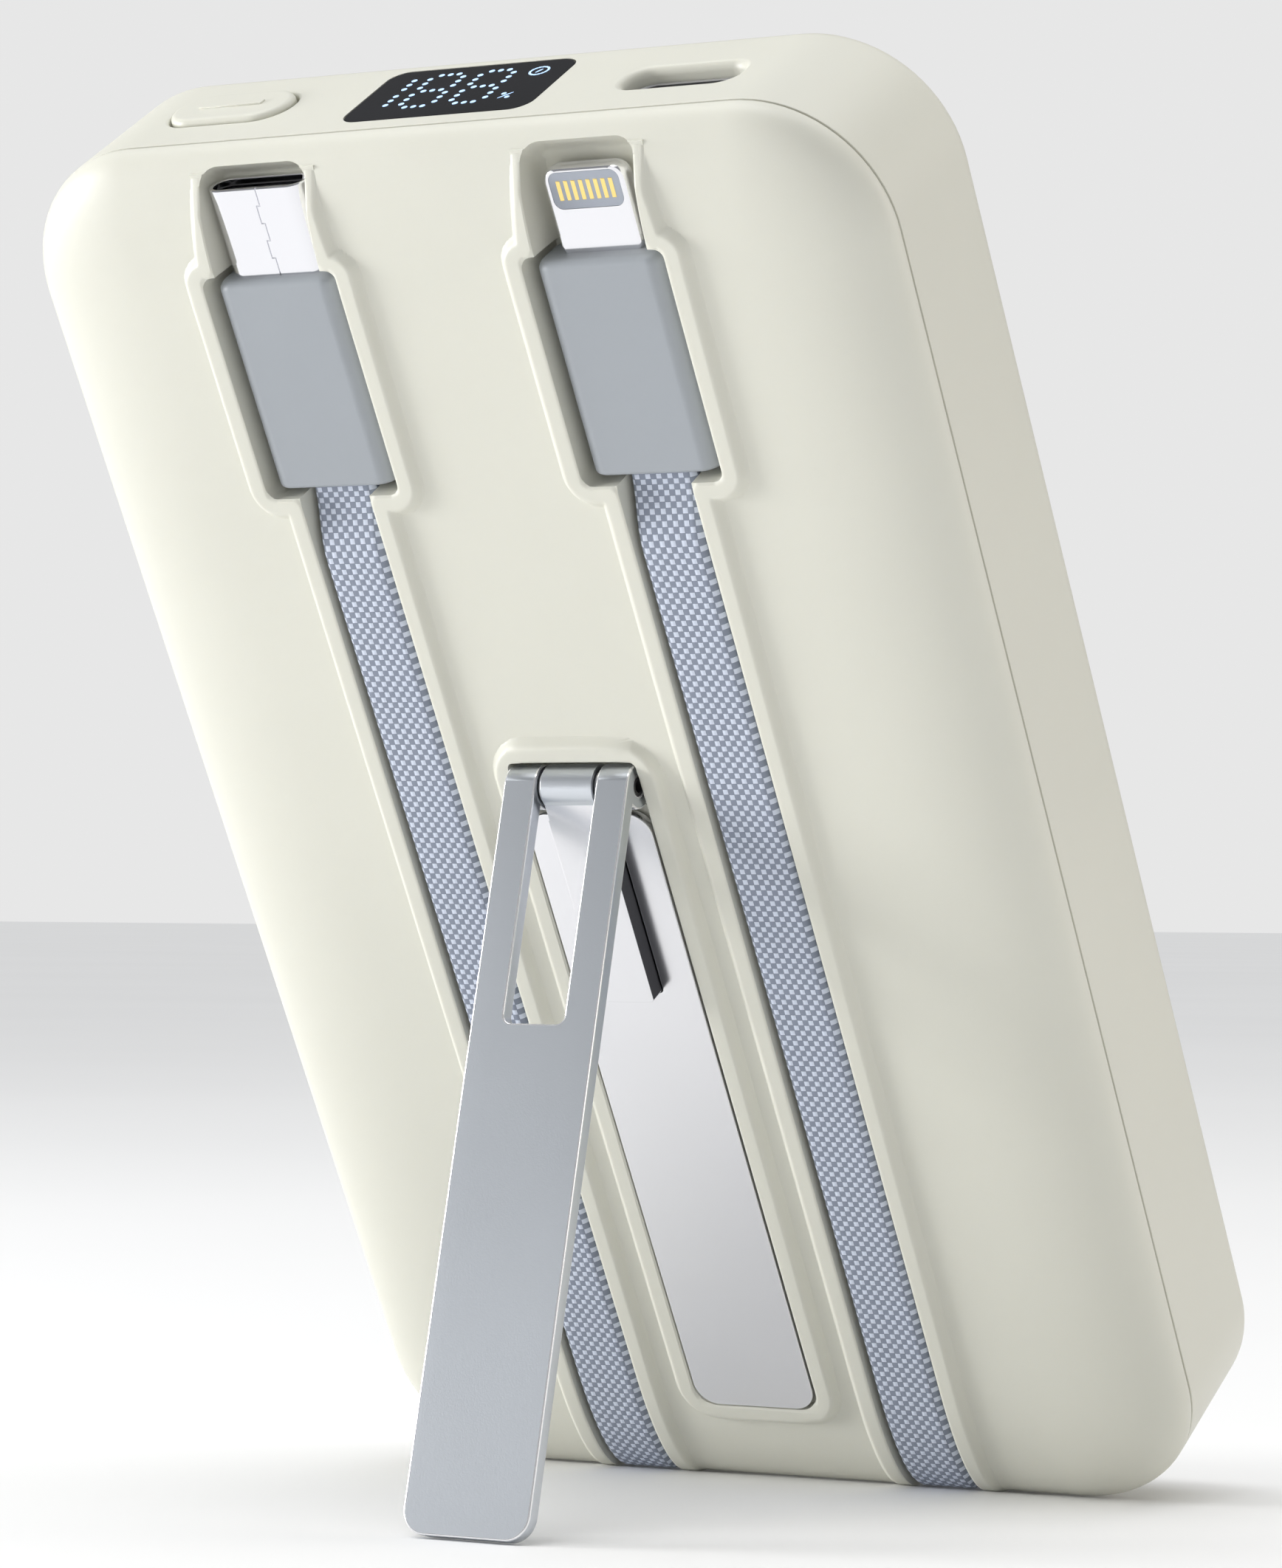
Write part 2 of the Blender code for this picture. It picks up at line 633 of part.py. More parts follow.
def cells(frame, pouch, plastic):
    start = CELL_START_Y
    for side in ("rear", "front"):
        low = (-CELL_W / 2, start, CELL_START_Z)
        high = (CELL_W / 2, start + CELL_T, CELL_START_Z + CELL_L)
        box(side + "_cell", low, high, CELL_CORNER_R, frame, pouch)
        start += CELL_T + CELL_GAP
    grow = SEAT_GAP + CRADLE_WALL
    top = CELL_START_Z + CELL_L
    y0, y1 = CELL_START_Y + CELL_T / 2, CELL_START_Y + 1.5 * CELL_T + CELL_GAP
    frame_box = box("cell_frame", (-CELL_W / 2 - grow, y0, CELL_START_Z - grow),
                    (CELL_W / 2 + grow, y1, top + grow), CELL_CORNER_R + grow, frame, plastic)
    hole = box("cell_frame_cut", (-CELL_W / 2 - SEAT_GAP, y0 - WALL, CELL_START_Z - SEAT_GAP),
               (CELL_W / 2 + SEAT_GAP, y1 + WALL, top + SEAT_GAP), CELL_CORNER_R, frame)
    combine(frame_box, hole, "DIFFERENCE")


def main_board(frame, material, steel):
    half = WIDTH / 2 - BOARD_SIDE
    low = (-half, BOARD_Y, BOARD_TOP_Z - BOARD_H)
    board = box("main_board", low, (half, BOARD_Y + BOARD_T, BOARD_TOP_Z), 2 * MM, frame, material)
    half = POCKET_W / 2 + TUB_WALL
    z = BOARD_TOP_Z - BOARD_H / 2
    for side in (-1, 1):
        name = "left" if side < 0 else "right"
        place = (side * BOARD_SCREW_X, z)
        hole = disc(name + "_board_hole", SCREW_R + SLIDE_GAP, -WALL, DEPTH, place, frame, steps=16)
        combine(board, hole, "DIFFERENCE")
        screw(name + "_board_screw", place, BOARD_Y - SEAT_GAP, BOARD_T + 2 * WALL, frame, steel)


def screw(name, place, head_y, length, frame, material):
    """A pan-head screw along Y, its head towards the cable side."""
    rings = []
    for radius, y in ((SCREW_HEAD_R * 0.8, head_y - SCREW_HEAD_T), (SCREW_HEAD_R, head_y - SCREW_HEAD_T / 2),
                      (SCREW_HEAD_R, head_y), (SCREW_R, head_y), (SCREW_R, head_y + length)):
        rings.append(at_depth(list(arc(place, radius, 0, 2 * pi, 16))[:-1], y))
    return add_object(name, loft(rings), frame, material)


def port(frame, steel, dark):
    z1 = HEIGHT - PORT_SUNK
    z0 = z1 - PORT_L
    size = (PORT_W, PORT_D)
    sleeve = top_prism("port_shell", (PORT_X, PORT_Y), size, PORT_D * 0.48, z0, z1, frame, steel)
    size = (PORT_W - 2 * PORT_WALL, PORT_D - 2 * PORT_WALL)
    hollow = top_prism("port_hollow_cut", (PORT_X, PORT_Y), size, PORT_D * 0.48 - PORT_WALL,
                       z0 + PORT_WALL, z1 + WALL, frame)
    combine(sleeve, hollow, "DIFFERENCE")
    size = (PORT_TONGUE_W, OVAL_TONGUE_T)
    top_prism("port_tongue", (PORT_X, PORT_Y), size, OVAL_TONGUE_T / 3,
              z0 + PORT_WALL + SLIDE_GAP, z1 - PORT_SUNK, frame, dark)


def display(frame, glass, dark):
    z1 = HEIGHT
    size = (DISPLAY_W, DISPLAY_D)
    centre = (0, TOP_LINE_Y)
    top_prism("display_window", centre, size, DISPLAY_R - SLIDE_GAP / 2, z1 - DISPLAY_T, z1, frame, glass)
    size = (DISPLAY_W - 3.6 * MM, DISPLAY_D - 2.6 * MM)
    top = z1 - DISPLAY_T - SEAT_GAP
    top_prism("display_module", centre, size, DISPLAY_R / 2, top - MODULE_T - WALL / 2, top, frame, dark)


def button_body(parent, material):
    """The button's origin is its seat on the top face. Its flange stays under the wall."""
    cap = (BUTTON_W, BUTTON_D)
    edge = BUTTON_PROUD * 0.6
    grown = (BUTTON_W + 2 * BUTTON_FLANGE, BUTTON_D + 2 * BUTTON_FLANGE)
    under = -WALL - SLIDE_GAP
    levels = [(grown, under - BUTTON_FLANGE), (grown, under), (cap, under)]
    levels += [(cap, BUTTON_PROUD - edge), ((BUTTON_W - edge, BUTTON_D - edge), BUTTON_PROUD)]
    rings = []
    for (w, d), z in levels:
        rings.append(at_height(rounded_box((-w / 2, -d / 2), (w / 2, d / 2), d * 0.49, 6), z))
    return add_object("power_button", loft(rings), parent, material)


def button_switch(frame, material):
    top = HEIGHT - WALL - SLIDE_GAP - BUTTON_FLANGE - BUTTON_TRAVEL - SLIDE_GAP
    size = (SWITCH_SIZE, SWITCH_SIZE)
    return top_prism("button_switch", (BUTTON_X, TOP_LINE_Y), size, 0.4 * MM, top - 2 * MM, top, frame, material)


# Kickstand

def kickstand_leg(parent, material):
    """Modelled folded, its origin on the hinge axis."""
    half, slot = LEG_W / 2, SLOT_W / 2
    back = -EAR_R + LEG_T
    root = atan2(-(EAR_R ** 2 - back ** 2) ** 0.5, back)
    profile = list(arc((0, 0), EAR_R, root, pi, 24))
    profile += [(-EAR_R, -LEG_L), (back, -LEG_L)]
    over = 2 * MM
    leg = add_object("kickstand_leg", loft([at_side(profile, x) for x in (-LEG_W, LEG_W)]), parent, material)
    edge = LEG_EDGE + over
    rings = []
    for inset, y in ((edge, -EAR_R - over), (0, -EAR_R + LEG_EDGE), (0, EAR_R + over)):
        low, high = (-half + inset, -LEG_L + inset), (half - inset, 3 * EAR_R)
        rings.append(at_depth(rounded_box(low, high, LEG_CORNER_R, 6), y))
    combine(leg, add_object("leg_outline", loft(rings), parent), "INTERSECT")
    rings = []
    for grow, y in ((edge, -EAR_R - over), (0, -EAR_R + LEG_EDGE), (0, EAR_R + over)):
        low, high = (-slot - grow, -SLOT_L - grow), (slot + grow, 4 * EAR_R)
        rings.append(at_depth(rounded_box(low, high, SLOT_CORNER_R, 5), y))
    combine(leg, add_object("leg_slot_cut", loft(rings), parent), "DIFFERENCE")
    bore = rod("ear_bore_cut", PIN_R + PIVOT_GAP, -LEG_W, LEG_W, parent)
    return combine(leg, bore, "DIFFERENCE")


def hinge_bracket(parent, material):
    """Barrel between the leg's ears, and the tongue that fills the leg's slot when it is folded."""
    top = -TONGUE_H
    foot = PLATE_FLOOR - SEAT_GAP - AXIS_Y
    half = TONGUE_W / 2
    low = -SLOT_L + SIDE_GAP
    rings = [at_depth(rounded_box((-half, low), (half, 0), 0.4 * MM, 3), y)
             for y in (foot, top + LEG_EDGE / 2)]
    inner = rounded_box((-half + LEG_EDGE / 2, low + LEG_EDGE / 2), (half - LEG_EDGE / 2, 0), 0.35 * MM, 3)
    rings.append(at_depth(inner, top))
    bracket = add_object("hinge_bracket", loft(rings), parent, material)
    combine(bracket, rod("barrel_blank", EAR_R, -BARREL_W / 2, BARREL_W / 2, parent), "UNION")
    combine(bracket, rod("barrel_bore_cut", PIN_R + PIVOT_GAP, -LEG_W, LEG_W, parent), "DIFFERENCE")
    side_cut = box("ear_room_cut", (BARREL_W / 2, -2 * EAR_R, -EAR_R - PIT_CLEAR),
                   (LEG_W, 2 * EAR_R, 2 * EAR_R), 0.2 * MM, parent)
    other_cut = box("other_ear_room_cut", (-LEG_W, -2 * EAR_R, -EAR_R - PIT_CLEAR),
                    (-BARREL_W / 2, 2 * EAR_R, 2 * EAR_R), 0.2 * MM, parent)
    combine(bracket, side_cut, "DIFFERENCE")
    combine(bracket, other_cut, "DIFFERENCE")
    return bracket


def hinge_small_parts(hinge, frame, bracket, steel):
    rod("hinge_pin", PIN_R, -LEG_W / 2 + SEAT_GAP, LEG_W / 2 - SEAT_GAP, hinge, steel)
    middle = (BARREL_W + SLOT_W) / 4
    for side, name in ((-1, "left_washer"), (1, "right_washer")):
        x = side * middle
        washer = rod(name, WASHER_R, x - WASHER_T / 2, x + WASHER_T / 2, hinge, steel)
        cut = rod(name + "_cut", PIN_R + PIVOT_GAP, x - WASHER_T, x + WASHER_T, hinge)
        combine(washer, cut, "DIFFERENCE")
    for i, (x, z) in enumerate(hinge_screw_places()):
        depth = TONGUE_H * 0.6
        start = PLATE_FLOOR - SEAT_GAP
        hole = disc(f"bracket_hole_{i}", SCREW_R + SLIDE_GAP, start - depth - SLIDE_GAP, start + WALL, (x, z), frame,
                    steps=16)
        combine(bracket, hole, "DIFFERENCE")
        head = WALL + SEAT_GAP
        rings = []
        for radius, y in ((SCREW_R, start - depth), (SCREW_R, head), (SCREW_HEAD_R, head),
                          (SCREW_HEAD_R, head + SCREW_HEAD_T / 2), (SCREW_HEAD_R * 0.8, head + SCREW_HEAD_T)):
            rings.append(at_depth(list(arc((x, z), radius, 0, 2 * pi, 16))[:-1], y))
        name = "upper_hinge_screw" if i == 0 else "lower_hinge_screw"
        add_object(name, loft(rings), frame, steel)


def kickstand_plate(frame, material):
    half = LEG_W / 2
    low, high = (-half, FOOT_Z), (half, AXIS_Z - PLATE_START - SLIDE_GAP)
    top_y = RIM_TOP_Y
    rings = [at_depth(rounded_box(low, high, LEG_CORNER_R, 6), y) for y in (top_y, top_y + PLATE_T)]
    plate = add_object("kickstand_plate", loft(rings), frame, material)
    half = TONGUE_W / 2 + SLIDE_GAP
    cut = box("tongue_cut", (-half, top_y - WALL, AXIS_Z - SLOT_L + SIDE_GAP - SLIDE_GAP),
              (half, top_y + 2 * WALL, AXIS_Z), 0.4 * MM, frame)
    return combine(plate, cut, "DIFFERENCE")


# Cables

def flat_section(centre_x=0.0):
    """A flat woven cable's section: round edges and a flat face each side."""
    half = RIBBON_W / 2
    low, high = (centre_x - half, -RIBBON_T / 2), (centre_x + half, RIBBON_T / 2)
    return rounded_box(low, high, RIBBON_T * 0.45, 4)


def ribbon_root(side, frame, material):
    """The stretch that stays with the case, from its gland to the pivot at the bottom edge."""
    name = ("left" if side < 0 else "right") + "_ribbon_root"
    inner, edge = ribbon_path()
    end = (RIBBON_Y, CABLE_PIVOT_Z - RIBBON_T / 2 - SEAT_GAP)
    path = inner + edge[:-1] + [end] if edge[-1][1] >= end[1] else inner + edge + [end]
    return sweep(name, path, flat_section(side * CABLE_X), frame, material)


def ribbon(side, pivot, material):
    """The stretch that swings out, its origin on the pivot, with a round end there."""
    name = ("left" if side < 0 else "right") + "_ribbon"
    half_t = RIBBON_T / 2
    start = OVERMOULD_BOTTOM - RISE_LENGTH
    path = [(RIBBON_Y, CABLE_PIVOT_Z), (RIBBON_Y, start)]
    path += rise_path(start, OVERMOULD_BOTTOM - 2 * SEAT_GAP)[1:]
    path += [(OVERMOULD_Y, OVERMOULD_BOTTOM - SEAT_GAP)]
    path = [(y - RIBBON_Y, z - CABLE_PIVOT_Z) for y, z in path]
    rings = []
    for k in range(3):
        angle = pi / 2 * (1 - k / 3) * 0.75
        squeeze = cos(angle)
        rings.append([Vector((x, out * squeeze, -half_t * sin(angle))) for x, out in flat_section()])
    for (y, z), normal in zip(path, path_normals(path)):
        rings.append([Vector((x, y + normal.x * out, z + normal.y * out)) for x, out in flat_section()])
    return add_object(name, loft(rings), pivot, material)


def overmould(side, pivot, material, plug_size):
    """Rounded grip that joins a ribbon to its plug, with a socket in its top for the plug."""
    name = ("left" if side < 0 else "right") + "_overmould"
    y = OVERMOULD_Y - RIBBON_Y
    z0, z1 = OVERMOULD_BOTTOM - CABLE_PIVOT_Z, OVERMOULD_TOP - CABLE_PIVOT_Z
    rings = []
    ease = OVERMOULD_R * 0.45
    for inset, z in ((ease, z0), (ease * 0.3, z0 + ease * 0.3), (0, z0 + ease), (0, z1 - ease),
                     (ease * 0.3, z1 - ease * 0.3), (ease, z1)):
        w, t = OVERMOULD_W / 2 - inset, OVERMOULD_T / 2 - inset
        rings.append(at_height(rounded_box((-w, y - t), (w, y + t), OVERMOULD_R - inset * 0.5, 6), z))
    grip = add_object(name, loft(rings), pivot, material)
    w, t = plug_size[0] + 2 * SLIDE_GAP, plug_size[1] + 2 * SLIDE_GAP
    socket = top_prism(name + "_socket_cut", (0, y), (w, t), t * 0.45, z1 - PLUG_SINK - SLIDE_GAP, z1 + WALL, pivot)
    return combine(grip, socket, "DIFFERENCE")


def oval_plug(pivot, steel, dark):
    y = OVERMOULD_Y - RIBBON_Y
    z1 = OVERMOULD_TOP - CABLE_PIVOT_Z
    z0, tip = z1 - PLUG_SINK, z1 + OVAL_L
    shell = top_prism("oval_plug_shell", (0, y), (OVAL_W, OVAL_T), OVAL_T * 0.49, z0, tip, pivot, steel, 8)
    inner = (OVAL_W - 2 * OVAL_WALL, OVAL_T - 2 * OVAL_WALL)
    hollow = top_prism("oval_plug_hollow_cut", (0, y), inner, inner[1] * 0.49, z0 + PLUG_SINK / 2, tip + WALL,
                       pivot, steps=8)
    combine(shell, hollow, "DIFFERENCE")
    liner = (inner[0] - 2 * SLIDE_GAP, inner[1] - 2 * SLIDE_GAP)
    core = top_prism("oval_plug_liner", (0, y), liner, liner[1] * 0.49, z0 + PLUG_SINK / 2 + SLIDE_GAP,
                     tip - 0.6 * MM, pivot, dark, 6)
    slot = top_prism("oval_plug_slot_cut", (0, y), (OVAL_TONGUE_W, OVAL_TONGUE_T), OVAL_TONGUE_T * 0.3,
                     z1, tip + WALL, pivot, steps=3)
    return combine(core, slot, "DIFFERENCE")


def blade_plug(pivot, steel, panel):
    y = OVERMOULD_Y - RIBBON_Y
    z1 = OVERMOULD_TOP - CABLE_PIVOT_Z
    z0, tip = z1 - PLUG_SINK, z1 + BLADE_L
    half, t = BLADE_W / 2, BLADE_T / 2
    rings = []
    for inset, depth in ((0.35 * MM, -t), (0, -t * 0.45), (0, t * 0.45), (0.35 * MM, t)):
        low, high = (-half + inset, z0), (half - inset, tip - inset)
        rings.append(at_depth(rounded_box(low, high, 1.1 * MM, 5), y + depth))
    blade = add_object("blade_plug", loft(rings), pivot, steel)
    half_panel = half - 0.75 * MM
    low, high = (-half_panel, tip - PANEL_H), (half_panel, tip - 0.55 * MM)
    cut = loft([at_depth(rounded_box(low, high, 0.7 * MM, 4), y + d) for d in (-t - WALL, -t * 0.35)])
    combine(blade, add_object("panel_seat_cut", cut, pivot), "DIFFERENCE")
    gap = 0.06 * MM
    low, high = (-half_panel + gap, tip - PANEL_H + gap), (half_panel - gap, tip - 0.55 * MM - gap)
    rings = [at_depth(rounded_box(low, high, 0.65 * MM, 4), y + d) for d in (-t, -t * 0.35 - gap)]
    return add_object("contact_panel", loft(rings), pivot, panel)


def gland(side, frame, material):
    """Collar that holds a ribbon where it enters the case."""
    name = ("left" if side < 0 else "right") + "_gland"
    x = side * CABLE_X
    y = SEAM_Y + EXIT_RUN + EXIT_BEND_R
    z0 = WALL + SEAT_GAP
    size = (CHANNEL_W + 2 * GLAND_WALL, RIBBON_T + 2 * GLAND_WALL)
    collar = top_prism(name, (x, y), size, 1.0 * MM, z0, z0 + GLAND_H, frame, material)
    size = (RIBBON_W + 2 * SLIDE_GAP, RIBBON_T + 2 * SLIDE_GAP)
    hole = top_prism(name + "_cut", (x, y), size, RIBBON_T * 0.45, -WALL, z0 + 2 * GLAND_H, frame)
    return combine(collar, hole, "DIFFERENCE")


# Standing the bank on its kickstand

def lean_angle():
    """The lean at which the case's bottom edge and the open leg's foot touch one floor."""
    edge = [(y, inset) for inset, y in shoulder(0, SHOULDER_IN, -RIM_H, 60)]
    corners = []
    for y in (-EAR_R, -EAR_R + LEG_T):
        turned = Matrix.Rotation(-LEG_OPEN, 2) @ Vector((y, -LEG_L))
        corners.append((AXIS_Y + turned.x, AXIS_Z + turned.y))

    def lowest(points, lean):
        return min(y * sin(lean) + z * cos(lean) for y, z in points)

    low, high = 0.0, LEG_OPEN
    for _ in range(40):
        middle = (low + high) / 2
        if lowest(corners, middle) > lowest(edge, middle):
            low = middle
        else:
            high = middle
    return low, lowest(edge, low)


def stand_on_floor(stand, lean, floor):
    """Puts the empty so that the bank's box stands centred on the origin."""
    bpy.context.view_layer.update()
    graph = bpy.context.evaluated_depsgraph_get()
    low, high = [1.0, 1.0], [-1.0, -1.0]
    for obj in bpy.context.scene.objects:
        if obj.type != "MESH" or obj.hide_render:
            continue
        mesh = obj.evaluated_get(graph).to_mesh()
        for vertex in mesh.vertices:
            point = obj.matrix_world @ vertex.co
            for axis in (0, 1):
                low[axis] = min(low[axis], point[axis])
                high[axis] = max(high[axis], point[axis])
        obj.evaluated_get(graph).to_mesh_clear()
    stand.location = (-(low[0] + high[0]) / 2, -(low[1] + high[1]) / 2, -floor)


def build():
    clear_scene()
    cream = make_material("cream_plastic", (0.80, 0.79, 0.70), 0.42)
    soft = make_material("cream_silicone", (0.78, 0.77, 0.69), 0.65)
    satin = make_material("satin_metal", (0.44, 0.47, 0.50), 0.32, 1.0)
    bright = make_material("bright_metal", (0.82, 0.82, 0.83), 0.12, 1.0)
    steel = make_material("plain_steel", (0.62, 0.62, 0.63), 0.3, 1.0)
    gloss = make_material("black_gloss", (0.012, 0.012, 0.014), 0.06)
    weave = make_material("grey_weave", (0.34, 0.37, 0.43), 0.8)
    grip = make_material("grey_grip", (0.36, 0.38, 0.41), 0.5)
    dark = make_material("black_plastic", (0.02, 0.02, 0.02), 0.5)
    panel = make_material("panel_plastic", (0.46, 0.49, 0.55), 0.45)
    copper = make_material("copper_wire", (0.72, 0.36, 0.18), 0.35, 1.0)
    ferrite = make_material("ferrite", (0.05, 0.05, 0.055), 0.7)
    magnet = make_material("magnet", (0.55, 0.55, 0.57), 0.35, 1.0)
    pouch = make_material("cell_pouch", (0.70, 0.71, 0.73), 0.3, 0.6)
    tray = make_material("white_plastic", (0.8, 0.8, 0.8), 0.5)
    green = make_material("board_green", (0.03, 0.16, 0.08), 0.5)

    lean, floor = lean_angle()
    stand = make_empty("stand", turn_x=lean)
    back_cover(stand, cream)
    front_shell(stand, cream)
    charging_pad(stand, soft)
    charging_parts(stand, copper, ferrite, magnet, dark)
    cells(stand, pouch, tray)
    main_board(stand, green, steel)
    port(stand, steel, dark)
    display(stand, gloss, dark)
    button = make_empty("button_slide", stand, (BUTTON_X, TOP_LINE_Y, HEIGHT))
    button_body(button, cream)
    button_switch(stand, dark)

    hinge = make_empty("hinge", stand, (0, AXIS_Y, AXIS_Z))
    leg_turn = make_empty("leg_turn", hinge, turn_x=-LEG_OPEN)
    kickstand_leg(leg_turn, satin)
    bracket = hinge_bracket(hinge, bright)
    hinge_small_parts(hinge, stand, bracket, steel)
    kickstand_plate(stand, bright)

    for side, plug_size in ((-1, (OVAL_W, OVAL_T)), (1, (BLADE_W, BLADE_T))):
        name = "left" if side < 0 else "right"
        place = (side * CABLE_X, RIBBON_Y, CABLE_PIVOT_Z)
        pivot = make_empty(name + "_cable_pivot", stand, place)
        ribbon_root(side, stand, weave)
        ribbon(side, pivot, weave)
        overmould(side, pivot, grip, plug_size)
        gland(side, stand, dark)
        if side < 0:
            oval_plug(pivot, bright, dark)
        else:
            blade_plug(pivot, bright, panel)
    stand_on_floor(stand, lean, floor)


build()
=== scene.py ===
# %% [markdown]
# # A power bank on its kickstand
# This lesson dresses a imported CAD model. The model already has every piece at its real size, and its
# moving bodies, so the lesson adds what a maker would see: soft edges, woven cables, polished and
# blasted metal, a glowing display. Every new piece stands for a CAD piece, and all but the woven
# cables move with their body.

import json
from functools import partial
from math import atan2, cos, pi, radians, sin

import bmesh
import bpy
import numpy as np
from mathutils import Matrix, Vector


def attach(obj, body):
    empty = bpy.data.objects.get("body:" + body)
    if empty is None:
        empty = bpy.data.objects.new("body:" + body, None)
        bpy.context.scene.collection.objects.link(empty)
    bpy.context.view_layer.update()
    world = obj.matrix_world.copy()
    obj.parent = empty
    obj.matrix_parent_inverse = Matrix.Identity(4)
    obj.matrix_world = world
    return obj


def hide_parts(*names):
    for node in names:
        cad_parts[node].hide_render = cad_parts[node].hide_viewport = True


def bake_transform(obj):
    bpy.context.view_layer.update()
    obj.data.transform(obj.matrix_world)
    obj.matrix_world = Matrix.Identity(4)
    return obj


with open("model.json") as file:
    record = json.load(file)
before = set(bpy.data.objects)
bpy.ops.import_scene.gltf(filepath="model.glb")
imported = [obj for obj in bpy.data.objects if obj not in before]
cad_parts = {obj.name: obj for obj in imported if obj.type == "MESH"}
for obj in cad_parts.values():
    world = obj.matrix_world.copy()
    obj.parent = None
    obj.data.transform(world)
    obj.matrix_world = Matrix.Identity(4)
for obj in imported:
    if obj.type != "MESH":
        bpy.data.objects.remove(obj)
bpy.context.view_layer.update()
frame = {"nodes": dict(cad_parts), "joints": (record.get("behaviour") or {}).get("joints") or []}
joints = {joint["name"]: joint for joint in frame["joints"]}

# %% [markdown]
# The case leans back on its leg. It is far easier to model it standing straight, in millimetres, with
# its cable side at Y = 0 and its bottom edge at Z = 0, and to lean each finished piece afterwards. The
# lean and the place come from the frame's own joints: the button slides along the case, and the leg
# turns on the hinge. A cutting tool sticks out of the case by REACH, so it never ends level with it.

# %% Sizes of the case
WIDTH, HEIGHT, DEPTH = 71.0, 116.7, 16.8
CORNER_R, WALL = 10.4, 2.0
SEAM_Y, SEAM_GAP = 3.6, 0.2
SHOULDER_IN, SHOULDER_POWER, INNER_SHOULDER_IN = 12.0, 2.4, 6.0
FRONT_R, RIM_H = 1.8, 0.7
AXIS_Y, AXIS_Z = -0.65, 65.4
LEG_OPEN = radians(45)
REACH = 4.0

# %% Case frame to world
press = Vector(joints["button_press"]["axis"])
LEAN = atan2(press.y, -press.z)
CASE = Matrix.Rotation(LEAN, 4, "X") @ Matrix.Scale(0.001, 4)
hinge_place = Vector(joints["kickstand_hinge"]["pos_m"])
CASE.translation = hinge_place - CASE.to_3x3() @ Vector((0, AXIS_Y, AXIS_Z))
print(f"the case leans {LEAN * 180 / pi:.1f} degrees")

# %% [markdown]
# ## Camera
# A long lens from the lower right of the cable side, close to level, keeps the case's long edges
# nearly parallel. Its place and turn are given against the case, so they follow the lean.

# %% Camera
CAMERA_AT = Vector((194.82, -288.87, 227.38))
CAMERA_TURN = Matrix((
    (0.867744, 0.005812, 0.496977),
    (0.430095, 0.492329, -0.756724),
    (-0.249074, 0.870390, 0.424716),
)).to_4x4()
camera_data = bpy.data.cameras.new("camera")
camera_data.lens, camera_data.sensor_width = 118.74, 36.0
camera_data.clip_end = 20.0
camera = bpy.data.objects.new("camera", camera_data)
bpy.context.scene.collection.objects.link(camera)
lean_turn = Matrix.Rotation(LEAN, 4, "X")
camera.matrix_world = Matrix.Translation(CASE @ CAMERA_AT) @ lean_turn @ CAMERA_TURN
bpy.context.scene.camera = camera
print("camera at", [round(v, 3) for v in camera.matrix_world.translation])

# %% [markdown]
# ## Helpers
# Blender's operators act on whatever is selected, so each helper first deselects everything, then
# selects what it works on. `grow` is the main one: it starts from a filled circle, extrudes its face
# once per ring, and moves the new ring's points into place, as one would pull up a vase by hand.


# %% Selecting
def deselect():
    bpy.ops.object.select_all(action="DESELECT")


def only(obj):
    """Selects one object and makes it active."""
    deselect()
    obj.select_set(True)
    bpy.context.view_layer.objects.active = obj
    return obj


def joined(pieces, name):
    """Makes one object of several."""
    deselect()
    for obj in pieces:
        obj.select_set(True)
    bpy.context.view_layer.objects.active = pieces[0]
    bpy.ops.object.join()
    obj = bpy.context.object
    obj.name = name
    return obj


def face_out(obj):
    """Makes every face of a closed piece point outwards."""
    only(obj)
    bpy.ops.object.mode_set(mode="EDIT")
    bpy.ops.mesh.select_all(action="SELECT")
    bpy.ops.mesh.normals_make_consistent(inside=False)
    bpy.ops.object.mode_set(mode="OBJECT")
    return obj


# %% Growing a piece ring by ring
def pull_through(obj, layers):
    """Extrudes an open mesh once per layer of places, and moves each point to its own place."""
    order = obj.data.attributes.new("order", "INT", "POINT")
    order.data.foreach_set("value", range(len(obj.data.vertices)))
    bpy.ops.object.mode_set(mode="EDIT")
    bpy.ops.mesh.select_all(action="SELECT")
    for number, points in enumerate(layers):
        if number:
            bpy.ops.mesh.extrude_region_move()
        bm = bmesh.from_edit_mesh(obj.data)
        tag = bm.verts.layers.int["order"]
        for vertex in bm.verts:
            if vertex.select:
                vertex.co = points[vertex[tag]]
        bmesh.update_edit_mesh(obj.data)
    bpy.ops.object.mode_set(mode="OBJECT")
    obj.data.attributes.remove(obj.data.attributes["order"])
    return face_out(obj)


def grow(name, rings):
    """A closed piece through rings of equal numbers of points."""
    deselect()
    bpy.ops.mesh.primitive_circle_add(vertices=len(rings[0]), fill_type="NGON")
    obj = bpy.context.object
    obj.name = name
    return pull_through(obj, rings)


# %% Outlines
def arc(centre, radius, start, end, steps):
    """Points along a part of a circle."""
    for k in range(steps + 1):
        angle = start + (end - start) * k / steps
        yield centre[0] + radius * cos(angle), centre[1] + radius * sin(angle)


def rounded(low, high, radius, steps=8):
    """Points round a rounded rectangle, from its high corner, anticlockwise."""
    (x0, z0), (x1, z1) = low, high
    corners = ((x1, z1, -1, -1), (x0, z1, 1, -1), (x0, z0, 1, 1), (x1, z0, -1, 1))
    points = []
    for turn, (x, z, a, b) in enumerate(corners):
        centre = (x + a * radius, z + b * radius)
        points += arc(centre, radius, turn * pi / 2, (turn + 1) * pi / 2, steps)
    return points


def at_depth(outline, y):
    """An (x, z) outline at one depth of the case."""
    return [Vector((x, y, z)) for x, z in outline]


def at_height(outline, z):
    """An (x, y) outline at one height of the case."""
    return [Vector((x, y, z)) for x, y in outline]


